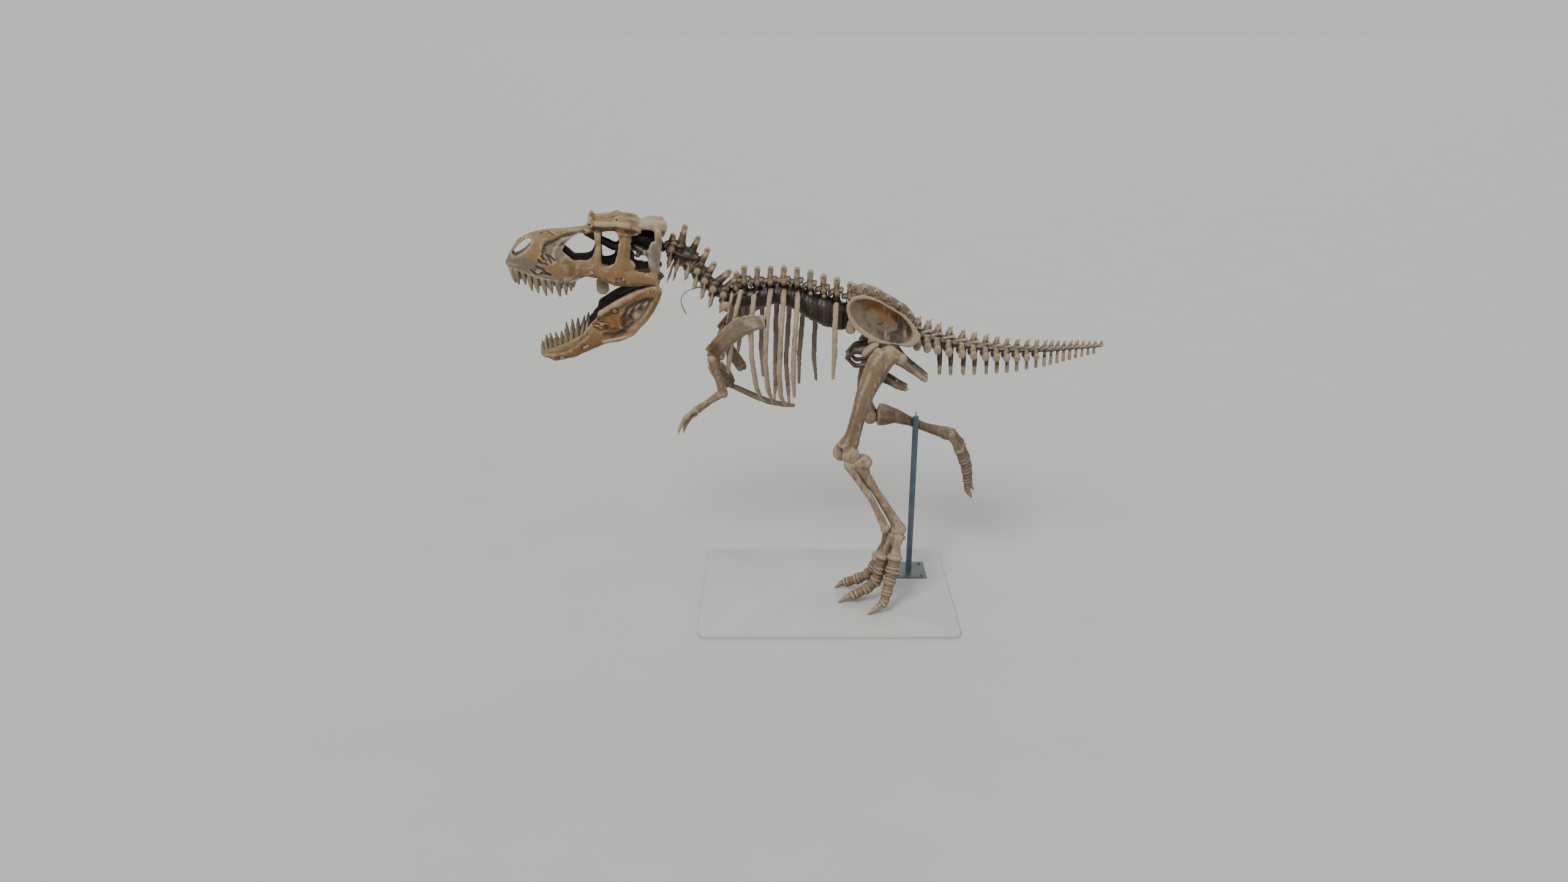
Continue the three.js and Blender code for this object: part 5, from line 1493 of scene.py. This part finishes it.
def sculpt_tail(brush):
    x, y, z = brush.at.T
    middle = tail_middle(x)
    height = np.interp(x, *zip(*TAIL_HEIGHT))
    far = np.clip(tail_share(x), 0, 1)
    size = tail_radius(far)
    away = np.hypot(y - middle, z - height) / size
    under = soft_step((height + size * 0.4 - z) / (size * 0.5))
    brush.add(soft_step((1.25 - away) / 0.3) * under * (1 - far * 0.4), dark=0.95)
    brush.add(soft_step((away - 1.3) / 0.4) * (z > height), ridge=0.25)
    drop = np.maximum(24, 312 - 0.175 * (x - 1430))
    # Painted shadow: the chevrons darkened above their lowest part, where the side lobes hang over them
    finger = soft_step((24 - np.abs(y - middle)) / 8) * soft_step((height - size - z) / 20)
    brush.add(finger * soft_step((z - height + drop - 78) / 20), dark=0.95)
    brush.add(1, grey=0.3)


def make_tail():
    for index, (first, last) in enumerate(TAIL_LENGTHS):
        extras = tail_extras(first, last)
        bone(f"tail_{index + 1}", "bone", 71 + index, 0.0055, extras, rounds=5, sculpt=sculpt_tail)


# Stand and stage
EDGE_WIDTH = 0.0015
SMOOTH_ANGLE = math.radians(35)


def make_stand():
    for node, kind in (("stand_pipe", "pipe"), ("stand_plate", "plate"), ("stand_base", "board")):
        piece = cad_copy(node, f"{node}_piece")
        only(piece)
        bevel = piece.modifiers.new("Edge", "BEVEL")
        bevel.width = EDGE_WIDTH
        bevel.segments = 2
        bevel.limit_method = "ANGLE"
        bpy.ops.object.modifier_apply(modifier="Edge")
        dressed(piece, paint_of(kind), [node])
        bpy.ops.object.shade_smooth_by_angle(angle=SMOOTH_ANGLE)


FLOOR_SIZE = 900
SKY_TONE = (0.80, 0.80, 0.80, 1)
SKY_STRENGTH = 0.80


def make_stage():
    bpy.ops.object.select_all(action="DESELECT")
    bpy.ops.mesh.primitive_plane_add(size=FLOOR_SIZE, location=(0, 0, board_low.z - 0.001))
    floor = bpy.context.active_object
    floor.name = "floor"
    bpy.ops.object.transform_apply(location=True, rotation=True, scale=True)
    floor.data.materials.append(board_paint("floor_paint", tuple(colours().floor), 0.97))
    suns = (
        ("key", (-0.55, -0.75, 1.0), 22, 2.3, (1.0, 0.97, 0.93)),
        ("fill", (0.9, -0.6, 0.6), 60, 0.5, (0.93, 0.96, 1.0)),
        ("rim", (0.2, 1.0, 0.8), 40, 0.6, (0.95, 0.97, 1.0)),
    )
    for name, way, spread, power, tint in suns:
        lamp = bpy.data.lights.new(name, "SUN")
        lamp.angle = math.radians(spread)
        lamp.energy = power
        lamp.color = tint
        made = linked(name, lamp)
        made.rotation_euler = Vector(way).to_track_quat("Z", "Y").to_euler()
    world = bpy.data.worlds.new("studio")
    world.use_nodes = True
    world.node_tree.nodes["Background"].inputs[0].default_value = SKY_TONE
    world.node_tree.nodes["Background"].inputs[1].default_value = SKY_STRENGTH
    bpy.context.scene.world = world


def make_camera():
    data = bpy.data.cameras.new("camera")
    data.sensor_width = 36
    data.lens = sizes().camera_lens
    data.clip_end = 200
    camera = linked("camera", data)
    camera.location = Vector((0, -sizes().camera_distance, sizes().camera_height)) + SHIFT
    camera.rotation_euler = (math.radians(90) - sizes().camera_tilt, 0, 0)
    bpy.context.scene.camera = camera


STEPS = (
    ("camera", "Camera", "Sets the camera where the photograph was taken from", make_camera),
    ("skull", "Skull", "Casts the skull with its upper teeth", make_skull),
    ("jaw", "Lower jaw", "Casts the lower jaw with its teeth", make_jaw),
    ("neck", "Neck", "Casts the neck vertebrae and the throat rod", make_neck),
    ("trunk", "Trunk", "Casts the rib cage, its vertebrae and the breast bone", make_trunk),
    ("arms", "Arms", "Casts the shoulder blades and the fore limbs", make_arms),
    ("hips", "Hips", "Casts the hip bones and their vertebrae", make_hips),
    ("legs", "Legs", "Casts the hind limbs and the feet", make_legs),
    ("tail", "Tail", "Casts the tail vertebrae", make_tail),
    ("stand", "Stand", "Finishes the pipe, the foot plate and the board", make_stand),
    ("stage", "Stage", "Lays the floor and hangs the lights", make_stage),
)


def operator(key, label, words, build):
    def execute(self, context):
        build()
        return {"FINISHED"}

    return type(
        f"SKELETON_OT_{key}",
        (bpy.types.Operator,),
        {
            "__doc__": words,
            "bl_idname": f"skeleton.{key}",
            "bl_label": label,
            "bl_options": {"REGISTER", "UNDO"},
            "execute": execute,
        },
    )


OPERATORS = [operator(*step) for step in STEPS]


class SKELETON_PT_panel(bpy.types.Panel):
    """Lists the sizes, the colours and each group of bones"""

    bl_label = "Skeleton"
    bl_idname = "SKELETON_PT_panel"
    bl_space_type = "VIEW_3D"
    bl_region_type = "UI"
    bl_category = "Skeleton"

    def draw(self, context):
        for group in (context.scene.skeleton_sizes, context.scene.skeleton_colours):
            for key in group.__annotations__:
                self.layout.prop(group, key)
        for key, *_ in STEPS:
            self.layout.operator(f"skeleton.{key}")


CLASSES = (SkeletonSizes, SkeletonColours, *OPERATORS, SKELETON_PT_panel)


def register():
    for item in CLASSES:
        bpy.utils.register_class(item)
    bpy.types.Scene.skeleton_sizes = bpy.props.PointerProperty(type=SkeletonSizes)
    bpy.types.Scene.skeleton_colours = bpy.props.PointerProperty(type=SkeletonColours)


def unregister():
    del bpy.types.Scene.skeleton_sizes
    del bpy.types.Scene.skeleton_colours
    for item in reversed(CLASSES):
        bpy.utils.unregister_class(item)


def main():
    register()
    for key, *_ in STEPS:
        getattr(bpy.ops.skeleton, key)()


if __name__ == "__main__":
    main()
